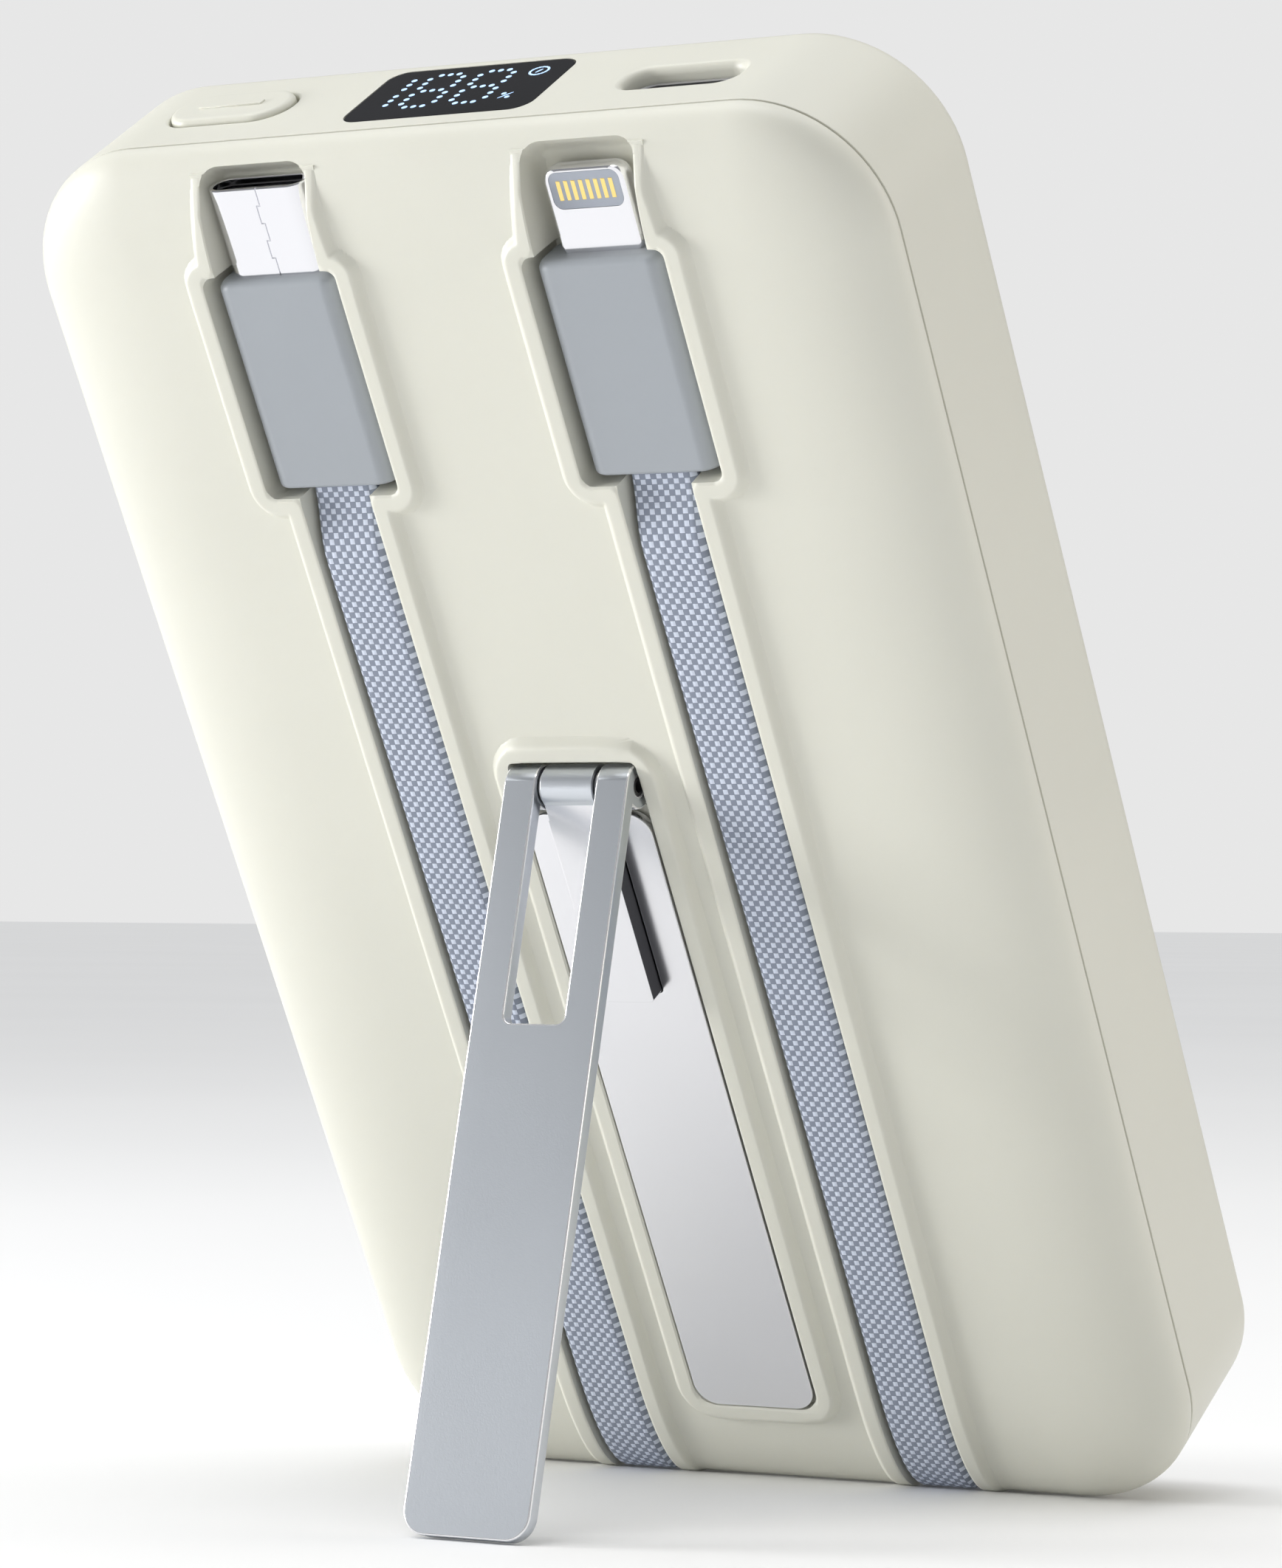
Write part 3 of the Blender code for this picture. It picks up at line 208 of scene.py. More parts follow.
# %% Blocks, discs and bars
def block(name, low, high, radius=0.0, along="Y", steps=8):
    """A cube at its size and place, with the four edges along one axis rounded."""
    deselect()
    middle = [(a + b) / 2 for a, b in zip(low, high)]
    size = [b - a for a, b in zip(low, high)]
    bpy.ops.mesh.primitive_cube_add(size=1, location=middle, scale=size)
    obj = bpy.context.object
    obj.name = name
    bpy.ops.object.transform_apply(location=True, rotation=True, scale=True)
    if radius:
        axis = "XYZ".index(along)
        bpy.ops.object.mode_set(mode="EDIT")
        bpy.ops.mesh.select_all(action="DESELECT")
        bm = bmesh.from_edit_mesh(obj.data)
        for edge in bm.edges:
            run = edge.verts[0].co - edge.verts[1].co
            edge.select_set(abs(run[axis]) > 0.99 * run.length)
        bmesh.update_edit_mesh(obj.data)
        bpy.ops.mesh.bevel(offset=radius, segments=steps, affect="EDGES")
        bpy.ops.object.mode_set(mode="OBJECT")
    return obj


def round_bar(name, radius, centre, half, along="X", steps=64):
    """A cylinder about one axis, half its length each way from its centre."""
    deselect()
    turn = {"X": (0, pi / 2, 0), "Y": (pi / 2, 0, 0), "Z": (0, 0, 0)}[along]
    bpy.ops.mesh.primitive_cylinder_add(
        vertices=steps, radius=radius, depth=2 * half, location=centre, rotation=turn)
    obj = bpy.context.object
    obj.name = name
    bpy.ops.object.transform_apply(location=True, rotation=True, scale=True)
    return obj


# %% Joining, cutting and easing edges
def combine(obj, tool, operation="DIFFERENCE"):
    """Cuts, joins or keeps what two pieces share, then throws the tool away."""
    only(obj)
    modifier = obj.modifiers.new("shape", "BOOLEAN")
    modifier.operation = operation
    modifier.solver = "EXACT"
    modifier.object = tool
    bpy.ops.object.modifier_apply(modifier=modifier.name)
    bpy.data.objects.remove(tool, do_unlink=True)
    return obj


def ease(obj, width, segments=3, angle=40, material=-1, clamp=True):
    """Rounds every edge sharper than an angle. The rounding may have its own finish."""
    only(obj)
    while len(obj.data.materials) <= material:
        obj.data.materials.append(polished)
    modifier = obj.modifiers.new("edge", "BEVEL")
    modifier.width = width
    modifier.segments = segments
    modifier.limit_method = "ANGLE"
    modifier.angle_limit = radians(angle)
    modifier.material = material
    modifier.use_clamp_overlap = clamp
    bpy.ops.object.modifier_apply(modifier=modifier.name)
    return obj


# %% [markdown]
# ## Finishes
# Each finish starts from a Principled shader. Fine noise moves the colour and the roughness a little,
# and a second, finer noise drives a bump, because no moulded, blasted or polished surface is quite
# even. All patterns read Object coordinates, in metres, so a scale of 3000 is a grain of 0.3 mm.


# %% A finish with grain
def fill_in(node, **values):
    """Types numbers and colours into a node's sockets."""
    for socket, value in values.items():
        node.inputs[socket.replace("_", " ")].default_value = value
    return node


def new_finish(name, colour, roughness, metallic=0.0, spread=0.04, patch=60, grain=2500,
               grain_depth=0.00002, grain_strength=0.25, rough_spread=0.08, **sockets):
    """A Principled material whose colour, roughness and relief vary like a real surface."""
    material = bpy.data.materials.new(name)
    material.use_nodes = True
    tree = material.node_tree
    new, link = tree.nodes.new, tree.links.new
    shader = fill_in(tree.nodes["Principled BSDF"], Metallic=metallic, **sockets)
    place = new("ShaderNodeTexCoord")
    patches = fill_in(new("ShaderNodeTexNoise"), Scale=patch, Detail=4)
    link(place.outputs["Object"], patches.inputs["Vector"])
    tone = new("ShaderNodeValToRGB")
    for end, position, change in zip(tone.color_ramp.elements, (0.3, 0.7), (-spread, spread)):
        end.position = position
        end.color = (*[min(c * (1 + change), 1) for c in colour], 1)
    link(patches.outputs["Fac"], tone.inputs["Fac"])
    link(tone.outputs["Color"], shader.inputs["Base Color"])
    fine = fill_in(new("ShaderNodeTexNoise"), Scale=grain, Detail=3)
    link(place.outputs["Object"], fine.inputs["Vector"])
    rough = fill_in(new("ShaderNodeMapRange"), To_Min=max(roughness - rough_spread, 0.01),
                    To_Max=roughness + rough_spread)
    link(patches.outputs["Fac"], rough.inputs["Value"])
    link(rough.outputs["Result"], shader.inputs["Roughness"])
    bump = fill_in(new("ShaderNodeBump"), Strength=grain_strength, Distance=grain_depth)
    link(fine.outputs["Fac"], bump.inputs["Height"])
    link(bump.outputs["Normal"], shader.inputs["Normal"])
    return material


# %% Plastics, rubber and glass
cream = new_finish(
    "cream_plastic", (0.70, 0.695, 0.615), 0.42, spread=0.012, rough_spread=0.04, grain=5000,
    grain_strength=0.12, Subsurface_Weight=0.06, Subsurface_Radius=(0.6, 0.5, 0.35),
    Subsurface_Scale=0.001)
pad_rubber = new_finish("cream_silicone", (0.68, 0.675, 0.595), 0.62, spread=0.02, grain=7000)
grip_grey = new_finish("grey_grip", (0.35, 0.375, 0.405), 0.38, spread=0.015, grain=6000,
                       rough_spread=0.03, grain_strength=0.15)
black_plastic = new_finish("black_plastic", (0.012, 0.012, 0.013), 0.5, spread=0.2, grain=5000)
panel_grey = new_finish("contact_panel_grey", (0.36, 0.39, 0.45), 0.42, spread=0.02, grain=6000)
black_glass = new_finish("display_glass", (0.008, 0.008, 0.010), 0.2, spread=0.3, grain=300,
                         grain_depth=0.000002, grain_strength=0.05, rough_spread=0.03,
                         Specular_IOR_Level=0.08)
white_plastic = new_finish("white_plastic", (0.74, 0.74, 0.73), 0.5, grain=4000)

# %% Metals
satin_metal = new_finish("satin_metal", (0.60, 0.63, 0.67), 0.36, 1.0, spread=0.02, patch=25,
                         grain=9000, grain_strength=0.3, rough_spread=0.03)
polished = new_finish("polished_metal", (0.93, 0.93, 0.95), 0.16, 0.75, spread=0.01, grain=1500,
                      grain_strength=0.03, rough_spread=0.03)
mirror = new_finish("mirror_metal", (0.80, 0.80, 0.83), 0.12, 1.0, spread=0.01, patch=40,
                    grain=900, grain_strength=0.02, rough_spread=0.02)
plate_metal = new_finish("plate_metal", (0.82, 0.82, 0.85), 0.22, 1.0, spread=0.01, patch=40,
                         grain=3000, grain_strength=0.05, rough_spread=0.03)
# Painted shade: near-black metal for the sides and underside of the bracket's tongue, where shade
# falls.
painted_shade_metal = new_finish("painted_shade_metal", (0.035, 0.035, 0.04), 0.35, 1.0, spread=0.05, grain=3000)
plain_steel = new_finish("plain_steel", (0.55, 0.55, 0.56), 0.32, 1.0, grain=3500)
# Painted shade: near-black finish for the walls of the pin's drill holes.
painted_shade_hole = new_finish("drilled_hole_painted_shade", (0.015, 0.015, 0.015), 0.6, grain=3500)
contact_gold = new_finish("contact_gold", (0.95, 0.72, 0.27), 0.28, 1.0, spread=0.03, grain=4000,
                          grain_strength=0.08)
magnet_nickel = new_finish("magnet_nickel", (0.55, 0.55, 0.57), 0.3, 1.0, spread=0.05, grain=1500)
copper = new_finish("copper_wire", (0.72, 0.34, 0.17), 0.33, 1.0, spread=0.1, patch=400, grain=2200)
foil = new_finish("cell_foil", (0.70, 0.71, 0.73), 0.3, 0.7, spread=0.03, patch=30, grain=500,
                  grain_depth=0.0001)
ferrite = new_finish("ferrite", (0.05, 0.05, 0.055), 0.68, spread=0.15, grain=1800)
board_green = new_finish("board_green", (0.025, 0.14, 0.07), 0.4, spread=0.25, patch=350, grain=2000)
print(len(bpy.data.materials), "finishes so far")

# %% [markdown]
# The display's dots glow softly. The glow is a number on the shader itself, so that an export keeps it.

# %% Glowing dots
glow = new_finish("display_glow", (0.42, 0.60, 0.86), 0.4, spread=0.06, patch=900, grain=4000)
fill_in(glow.node_tree.nodes["Principled BSDF"], Emission_Color=(0.42, 0.62, 0.95, 1),
        Emission_Strength=0.75)

# %% [markdown]
# The cables' cloth is a plain weave of light and dark yarns. The pattern follows the cable round its
# bends, so it reads the UV map that the cable is given, whose unit is one crossing of yarns. Crossings
# of even number show the light yarn. The others show the dark one, and so do the gaps between yarns.

# %% Woven finish
YARNS = 12
YARN_HALF = 0.44


def math_node(tree, operation, first, second=None):
    """A Math node. Its inputs are numbers or other nodes' outputs."""
    node = tree.nodes.new("ShaderNodeMath")
    node.operation = operation
    for socket, value in zip(node.inputs, (first, second)):
        if isinstance(value, float):
            socket.default_value = value
        elif value is not None:
            tree.links.new(value, socket)
    return node.outputs[0]


def woven_finish():
    """Cloth whose colour changes from crossing to crossing of the UV map."""
    material = new_finish("woven_cloth", (0.40, 0.43, 0.5), 0.78, grain=9000, grain_depth=0.00003,
                          grain_strength=0.4, Sheen_Weight=0.04, Sheen_Roughness=0.5)
    tree = material.node_tree
    maths = partial(math_node, tree)
    uv = tree.nodes.new("ShaderNodeUVMap")
    split = tree.nodes.new("ShaderNodeSeparateXYZ")
    tree.links.new(uv.outputs["UV"], split.inputs[0])
    ways = split.outputs[0], split.outputs[1]
    odd = maths("MODULO", maths("ADD", *[maths("FLOOR", way) for way in ways]), 2.0)
    off = [maths("ABSOLUTE", maths("SUBTRACT", maths("FRACT", way), 0.5)) for way in ways]
    gap = maths("GREATER_THAN", maths("MAXIMUM", *off), YARN_HALF)
    yarn = tree.nodes.new("ShaderNodeMix")
    yarn.data_type = "RGBA"
    yarn.inputs[6].default_value = (0.62, 0.67, 0.78, 1)
    yarn.inputs[7].default_value = (0.235, 0.265, 0.335, 1)
    tree.links.new(maths("MAXIMUM", odd, gap), yarn.inputs[0])
    tree.links.new(yarn.outputs[2], tree.nodes["Principled BSDF"].inputs["Base Color"])
    return material


weave = woven_finish()

# %% [markdown]
# ## Handing a piece over
# When a piece is finished it is leaned into the world, given its finishes, told which body it moves
# with, and which CAD pieces it stands for.


# %% Finish a piece
def hand_over(obj, body, materials, slot, *nodes, smooth=35, turn=None):
    """Leans a piece, gives it its finishes and body, and hides the nodes it replaces. The slot is not
    used.
    """
    only(obj)
    if turn is not None:
        obj.data.transform(turn)
    obj.data.transform(CASE)
    obj.matrix_world = Matrix.Identity(4)
    finish_of = [face.material_index for face in obj.data.polygons]
    obj.data.materials.clear()
    for material in materials:
        obj.data.materials.append(material)
    for face, number in zip(obj.data.polygons, finish_of):
        face.material_index = min(number, len(materials) - 1)
    bpy.ops.object.shade_smooth_by_angle(angle=radians(smooth))
    modifier = obj.modifiers.new("even", "WEIGHTED_NORMAL")
    modifier.keep_sharp = True
    bpy.ops.object.modifier_apply(modifier=modifier.name)
    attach(obj, body)
    if nodes:
        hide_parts(*nodes)
    print(obj.name, "on", body, "with", len(obj.data.polygons), "faces")
    return obj


# %% [markdown]
# ## Case: the back cover
# The cover is a shallow tray. Its flat back runs out into a long soft shoulder that drops to the seam,
# flatter than a circle, which is why a plain bevel would look wrong. So the rings follow a
# superellipse. Each ring is the case's outline moved inwards, with its corners' radius cut to match.


# %% Rings of the case
def case_ring(inset, y, steps=20):
    """The case's outline, moved inwards."""
    radius = CORNER_R - min(inset, CORNER_R * 0.85)
    low, high = (-WIDTH / 2 + inset, inset), (WIDTH / 2 - inset, HEIGHT - inset)
    return at_depth(rounded(low, high, radius, steps), y)


def shoulder_share(angle):
    """How far across and how far down the soft shoulder is, at an angle round it."""
    return cos(angle) ** (2 / SHOULDER_POWER), sin(angle) ** (2 / SHOULDER_POWER)


def shoulder(inset, span, face_y, steps=24):
    """(inset, y) from the flat back out to the seam."""
    points = []
    for k in range(steps + 1):
        across, down = shoulder_share(pi / 2 * (1 - k / steps))
        points.append((inset + span * (1 - across), SEAM_Y - (SEAM_Y - face_y) * down))
    return points


outside = shoulder(0, SHOULDER_IN, 0)[:-1]
outside += [(0, SEAM_Y - 0.12), (0.04, SEAM_Y - 0.03), (0.12, SEAM_Y)]
inside = shoulder(WALL, INNER_SHOULDER_IN, WALL, 8)
cover = grow("back_cover_shell", [case_ring(inset, y) for inset, y in outside + inside[::-1]])
print("cover", len(cover.data.polygons), "faces")

# %% [markdown]
# The cables lie in channels with a raised rim on each side, and so does the kickstand. A rim is flat on
# top, falls steeply on its outer side, and fades into the case with a soft foot. Each set of rims is a
# grid laid over the case whose points rise by a height that depends only on the distance from the
# opening. The grid is then extruded downwards into the wall and joined to the cover.

# %% Sizes of the cable openings
CABLE_X = 13.5
RIBBON_W, RIBBON_T, RIBBON_TOP_Y = 5.4, 1.4, -0.59
CHANNEL_FLOOR = RIBBON_T / 2 + 0.18
CHANNEL_W = RIBBON_W + 0.7
OVERMOULD_W, OVERMOULD_T, OVERMOULD_FRONT_Y = 10.3, 4.4, -0.25
OVERMOULD_BOTTOM, OVERMOULD_TOP = 90.5, 107.2
POCKET_W = OVERMOULD_W + 1.2
POCKET_BOTTOM, POCKET_TOP = OVERMOULD_BOTTOM - 0.6, OVERMOULD_TOP + 0.6
CRADLE_W, CRADLE_TOP_Z = 9.1, HEIGHT - 0.9
LEG_W, LEG_T, LEG_L = 10.6, 1.25, 56.1
FOOT_Z = AXIS_Z - LEG_L
EAR_R = 1.7
PIT_TOP = AXIS_Z + EAR_R + 0.35
RECESS_W = LEG_W + 0.4
RIM_FLAT, RIM_SLOPE, RIM_SINK, RIM_EDGE = 1.15, 0.85, 0.035, 0.13


# %% Distance from an opening
def soften(outline, radius, steps=6):
    """Rounds the corners of a right-angled outline."""
    points = []
    for i, corner in enumerate(outline):
        here = Vector(corner)
        before = Vector(outline[i - 1]) - here
        after = Vector(outline[(i + 1) % len(outline)]) - here
        r = min(radius, 0.46 * before.length, 0.46 * after.length)
        before, after = before.normalized(), after.normalized()
        for k in range(steps + 1):
            angle = pi / 2 * k / steps
            back, on = before * r * (1 - sin(angle)), after * r * (1 - cos(angle))
            points.append((here + back + on)[:])
    return points


def distance_outside(points, outline):
    """How far each point lies outside a closed outline. Points inside give a negative number."""
    p = np.array(points)[:, None, :]
    a = np.array(outline)
    b = np.roll(a, -1, axis=0)
    run = b - a
    share = np.clip(((p - a) * run).sum(2) / (run ** 2).sum(1), 0, 1)
    gap = np.sqrt((((a + share[..., None] * run) - p) ** 2).sum(2)).min(1)
    x, z = p[..., 0], p[..., 1]
    crosses = ((a[:, 1] > z) != (b[:, 1] > z)) & (
        x < a[:, 0] + (z - a[:, 1]) / np.where(run[:, 1] == 0, 1e-9, run[:, 1]) * run[:, 0])
    return np.where(crosses.sum(1) % 2 == 1, -gap, gap)


# %% Rim shape
def rim_rise(distance):
    """Height of a rim at a distance from its opening, as a share of its full height."""
    inner = np.clip(RIM_EDGE - distance, 0, RIM_EDGE)
    rounding = (RIM_EDGE - np.sqrt(np.maximum(RIM_EDGE ** 2 - inner ** 2, 0))) / RIM_H
    share = np.clip((distance - RIM_FLAT) / RIM_SLOPE, 0, 1)
    fall = 0.5 + 0.5 * np.cos(pi * share)
    return np.where(distance < RIM_FLAT, 1 - rounding, fall)


def smooth_step(share):
    """Starts and ends gently between 0 and 1."""
    return share * share * (3 - 2 * share)


def down_share(z):
    """How much of the full depth is left at a height: 1 on the flat back, 0 at the seam."""
    inset = np.clip(np.minimum(z, HEIGHT - z), 1e-6, SHOULDER_IN)
    return (1 - (1 - inset / SHOULDER_IN) ** SHOULDER_POWER) ** (1 / SHOULDER_POWER)


def rim_grid(name, xs, zs, outline, fade):
    """A closed patch over the case, raised round an opening."""
    deselect()
    bpy.ops.mesh.primitive_grid_add(
        x_subdivisions=len(xs) - 1, y_subdivisions=len(zs) - 1, size=2)
    obj = bpy.context.object
    obj.name = name
    flat = np.zeros(len(obj.data.vertices) * 3)
    obj.data.vertices.foreach_get("co", flat)
    flat = flat.reshape(-1, 3)
    column = np.rint((flat[:, 0] + 1) / 2 * (len(xs) - 1)).astype(int)
    row = np.rint((flat[:, 1] + 1) / 2 * (len(zs) - 1)).astype(int)
    x, z = np.array(xs)[column], np.array(zs)[row]
    down = down_share(z)
    narrow, low = fade(z)
    away = distance_outside(np.stack([x, z], 1), outline)
    away = np.where(away > 0.2, away + narrow, away)
    lift = (RIM_H + RIM_SINK) * rim_rise(away) * low - RIM_SINK
    base = SEAM_Y * (1 - down)
    inward = np.where(z < HEIGHT / 2, 1.0, -1.0) * (1 - down) * 0.6
    top = np.stack([x, base - lift * down, z], 1)
    under = np.stack([x, base + 0.7 * down, z + inward], 1)
    return pull_through(obj, (top, under))


# %% Grid lines, close together where a rim bends
def lines_round(edges, reach, fine, coarse, low, high):
    """Sorted grid lines: fine for a reach on both sides of each edge, coarse elsewhere."""
    found = {low, high}
    for edge in edges:
        count = int(round(2 * reach / fine))
        found |= {round(edge - reach + k * fine, 4) for k in range(count + 1)}
    found |= {round(low + k * coarse, 4) for k in range(int((high - low) / coarse) + 1)}
    lines = sorted(v for v in found if low <= v <= high)
    kept = [lines[0]]
    for value in lines[1:]:
        if value - kept[-1] > fine * 0.6:
            kept.append(value)
    kept[-1] = high
    return kept


def cable_outline(side):
    """The opening of one cable, seen square on: its channel, its pocket and its cradle."""
    centre = side * CABLE_X
    corners = [(CHANNEL_W / 2, -20), (CHANNEL_W / 2, POCKET_BOTTOM),
               (POCKET_W / 2, POCKET_BOTTOM), (POCKET_W / 2, POCKET_TOP),
               (CRADLE_W / 2, POCKET_TOP), (CRADLE_W / 2, HEIGHT + 20)]
    right = [(centre + x, z) for x, z in corners]
    return soften(right + [(centre - x, z) for x, z in corners[::-1]], 0.7)


# %% Rims of the cables and of the kickstand
bottom_lines = [inset for inset, y in shoulder(0, SHOULDER_IN, 0, 26)[::-1]][1:]
pocket_ends = (POCKET_BOTTOM - 0.9, POCKET_TOP + 0.9)
upper_lines = lines_round(pocket_ends, 3.0, 0.17, 2.5, 12.4, HEIGHT - 0.5)
cable_lines = sorted({0.02, 0.06, *bottom_lines, *upper_lines})


def cable_fade(z):
    """Beside the cradle a rim first gets narrower, then sinks into the case at a point."""
    narrow = np.clip((z - POCKET_TOP) / 6.2, 0, 1) * (RIM_FLAT - 0.2)
    return narrow, 1 - smooth_step(np.clip((z - 112.6) / 3.2, 0, 1))


half, wide = CHANNEL_W / 2, POCKET_W / 2
offsets = lines_round((half + 1.3, wide + 1.3), 1.5, 0.13, 1.0, half - 0.4, wide + 2.6)
for side in (-1, 1):
    centre = side * CABLE_X
    xs = sorted([centre - v for v in offsets] + [centre] + [centre + v for v in offsets])
    grid = rim_grid("cable_rims", xs, cable_lines, cable_outline(side), cable_fade)
    combine(cover, grid, "UNION")
half = RECESS_W / 2
recess = rounded((-half, FOOT_Z - 0.2), (half, PIT_TOP), 1.6, 10)
xs = lines_round((-half - 1.2, half + 1.2), 1.4, 0.13, 2.0, -half - 2.6, half + 2.6)
zs = lines_round((FOOT_Z - 1.2, PIT_TOP + 1.2), 2.6, 0.15, 3.0, FOOT_Z - 2.9, PIT_TOP + 2.7)
grid = rim_grid("kickstand_rims", xs, zs, recess, lambda z: (0 * z, 1 + 0 * z))
combine(cover, grid, "UNION")
print("cover with rims", len(cover.data.polygons), "faces")

# %% [markdown]
# Now the openings are cut. First solid blocks are joined behind the wall, because the pockets are
# deeper than the wall is thick. Then one swept tool cuts each channel, following the shoulder at an
# even depth, and rounded blocks cut the pocket, the plug's cradle and the kickstand's recess. Last,
# the smallest gaps that so many cuts may leave are filled.


# %% Paths of the cables
RIBBON_Y = RIBBON_TOP_Y + RIBBON_T / 2
OVERMOULD_Y = OVERMOULD_FRONT_Y + OVERMOULD_T / 2
RISE_LENGTH, RIBBON_BOTTOM_Z = 6.0, 0.8
EXIT_RUN, EXIT_BEND_R, EXIT_RISE = 3.6, 2.0, 3.2
EXIT_POINTS = 20
POCKET_FLOOR = OVERMOULD_FRONT_Y + OVERMOULD_T + 0.3
CRADLE_FLOOR = OVERMOULD_Y + 1.25 + 0.3


def ribbon_path(end_y, steps=30):
    """(y, z) of a cable's middle, from inside the case round the bottom edge to its overmould."""
    exit_y = SEAM_Y + EXIT_RUN
    bend = (exit_y, RIBBON_BOTTOM_Z + EXIT_BEND_R)
    path = [(exit_y + EXIT_BEND_R, bend[1] + EXIT_RISE * (1 - k / 8)) for k in range(8)]
    path += list(arc(bend, EXIT_BEND_R, 0, -pi / 2, 12))
    for k in range(steps + 1):
        across, down = shoulder_share(pi / 2 * (k / steps))
        path.append((SEAM_Y - (SEAM_Y - RIBBON_Y) * down,
                     SHOULDER_IN - (SHOULDER_IN - RIBBON_BOTTOM_Z) * across))
    start = OVERMOULD_BOTTOM - RISE_LENGTH
    for k in range(13):
        share = k / 12
        y = RIBBON_Y + (end_y - RIBBON_Y) * smooth_step(share)
        path.append((y, start + RISE_LENGTH * share))
    return path


def outward(path):
    """The unit normal at each point of a path, on the side that faces out of the case."""
    p = np.array(path)
    run = np.gradient(p, axis=0)
    run /= np.linalg.norm(run, axis=1)[:, None]
    return np.stack([-run[:, 1], run[:, 0]], 1)


def sweep(name, path, section):
    """Carries a closed section of (x, outward) points along a path."""
    rings = []
    for (y, z), (ny, nz) in zip(path, outward(path)):
        rings.append([Vector((x, y + ny * out, z + nz * out)) for x, out in section])
    return grow(name, rings)


# %% Tools that cut the openings
def channel_tool(side):
    """A swept tool with rounded lower corners, for the channel outside the case."""
    path = ribbon_path(OVERMOULD_Y)[EXIT_POINTS - 1:] + [(OVERMOULD_Y, OVERMOULD_BOTTOM + 0.6)]
    x, half = side * CABLE_X, CHANNEL_W / 2
    floor, edge, over = -CHANNEL_FLOOR, 0.35, 3.0
    section = [(x - half, over), (x - half, floor + edge),
               (x - half + edge * 0.3, floor + edge * 0.3), (x - half + edge, floor),
               (x + half - edge, floor), (x + half - edge * 0.3, floor + edge * 0.3),
               (x + half, floor + edge), (x + half, over)]
    return sweep("channel_tool", path, section)


def exit_tool(side):
    """A swept tool for the opening at the bottom edge, where a cable goes into the case."""
    path = ribbon_path(OVERMOULD_Y)[:EXIT_POINTS] + [(SEAM_Y - 0.5, RIBBON_BOTTOM_Z)]
    path[0] = (path[0][0], path[0][1] + 4)
    x, half = side * CABLE_X, CHANNEL_W / 2
    section = [(x - half, -CHANNEL_FLOOR), (x + half, -CHANNEL_FLOOR),
               (x + half, CHANNEL_FLOOR), (x - half, CHANNEL_FLOOR)]
    return sweep("exit_tool", path, section)


def pocket_tool(side):
    """A rounded tool for the pocket that holds a grip."""
    x, half = side * CABLE_X, POCKET_W / 2
    levels = ((0, -REACH, 0.9), (0, -0.2, 0.9), (0.12, POCKET_FLOOR - 0.5, 0.9),
              (0.25, POCKET_FLOOR - 0.12, 0.8), (0.5, POCKET_FLOOR, 0.6))
    return grow("pocket_tool", [
        at_depth(rounded((x - half + inset, POCKET_BOTTOM + inset),
                         (x + half - inset, POCKET_TOP - inset), radius), y)
        for inset, y, radius in levels])


def cradle_tool(side):
    """A rounded tool for the cradle round a plug, with a sloped upper end."""
    x, half, base = side * CABLE_X, CRADLE_W / 2, OVERMOULD_TOP - 1.2
    levels = ((0, 0, -REACH, 1.6), (0, 0, 1.2, 1.6), (0.04, 0.45, 2.0, 1.5), (0.1, 1.0, 2.8, 1.4),
              (0.25, 1.4, 3.25, 1.2), (0.5, 1.8, CRADLE_FLOOR, 1.0))
    return grow("cradle_tool", [
        at_depth(rounded((x - half + inset, base),
                         (x + half - inset, CRADLE_TOP_Z - top), radius), y)
        for inset, top, y, radius in levels])


# %% Blocks behind the wall
TUB = 1.1
pocket, cradle, channel = (width / 2 + TUB for width in (POCKET_W, CRADLE_W, CHANNEL_W))
roof, slope_start = HEIGHT - WALL - 0.3, OVERMOULD_BOTTOM - RISE_LENGTH + TUB
channel_back, slope_back = (y + CHANNEL_FLOOR + TUB for y in (RIBBON_Y, OVERMOULD_Y))
blocks = (
    ("tub", pocket, 1, POCKET_FLOOR + TUB, POCKET_BOTTOM - TUB, POCKET_TOP + TUB, 1.2),
    ("tub", cradle, 1, CRADLE_FLOOR + TUB, POCKET_TOP - TUB, roof, 1.2),
    ("bridge", cradle - 0.3, 1.3, SEAM_Y - 0.17, roof - 0.7, HEIGHT - WALL + 0.45, 0),
    ("tub", channel, 1, slope_back, slope_start, POCKET_BOTTOM + TUB, 1.0),
    ("tub", channel, 1, channel_back, 2 * WALL + TUB, POCKET_BOTTOM, 1.0),
)
for side in (-1, 1):
    x = side * CABLE_X
    for name, half, y0, y1, z0, z1, radius in blocks:
        added = block(name, (x - half, y0, z0), (x + half, y1, z1), radius)
        combine(cover, added, "UNION")

# %% Cut the cover
for side in (-1, 1):
    for tool in (channel_tool, exit_tool, pocket_tool, cradle_tool):
        combine(cover, tool(side))
PLATE_T = 0.8
PLATE_Y = -RIM_H + PLATE_T + 0.3
low, high = (-RECESS_W / 2, -REACH, FOOT_Z - 0.2), (RECESS_W / 2, PLATE_Y, PIT_TOP)
combine(cover, block("recess_tool", low, high, 1.9))
PIT_Y = AXIS_Y + EAR_R + 0.35
low, high = (-RECESS_W / 2, -REACH, AXIS_Z - 2.1), (RECESS_W / 2, PIT_Y, PIT_TOP)
combine(cover, block("pit_tool", low, high, 0.5))
only(cover)
bpy.ops.object.mode_set(mode="EDIT")
bpy.ops.mesh.select_all(action="SELECT")
bpy.ops.mesh.fill_holes(sides=8)
bpy.ops.object.mode_set(mode="OBJECT")
hand_over(cover, "housing", [cream], "cream_plastic", "back_cover")
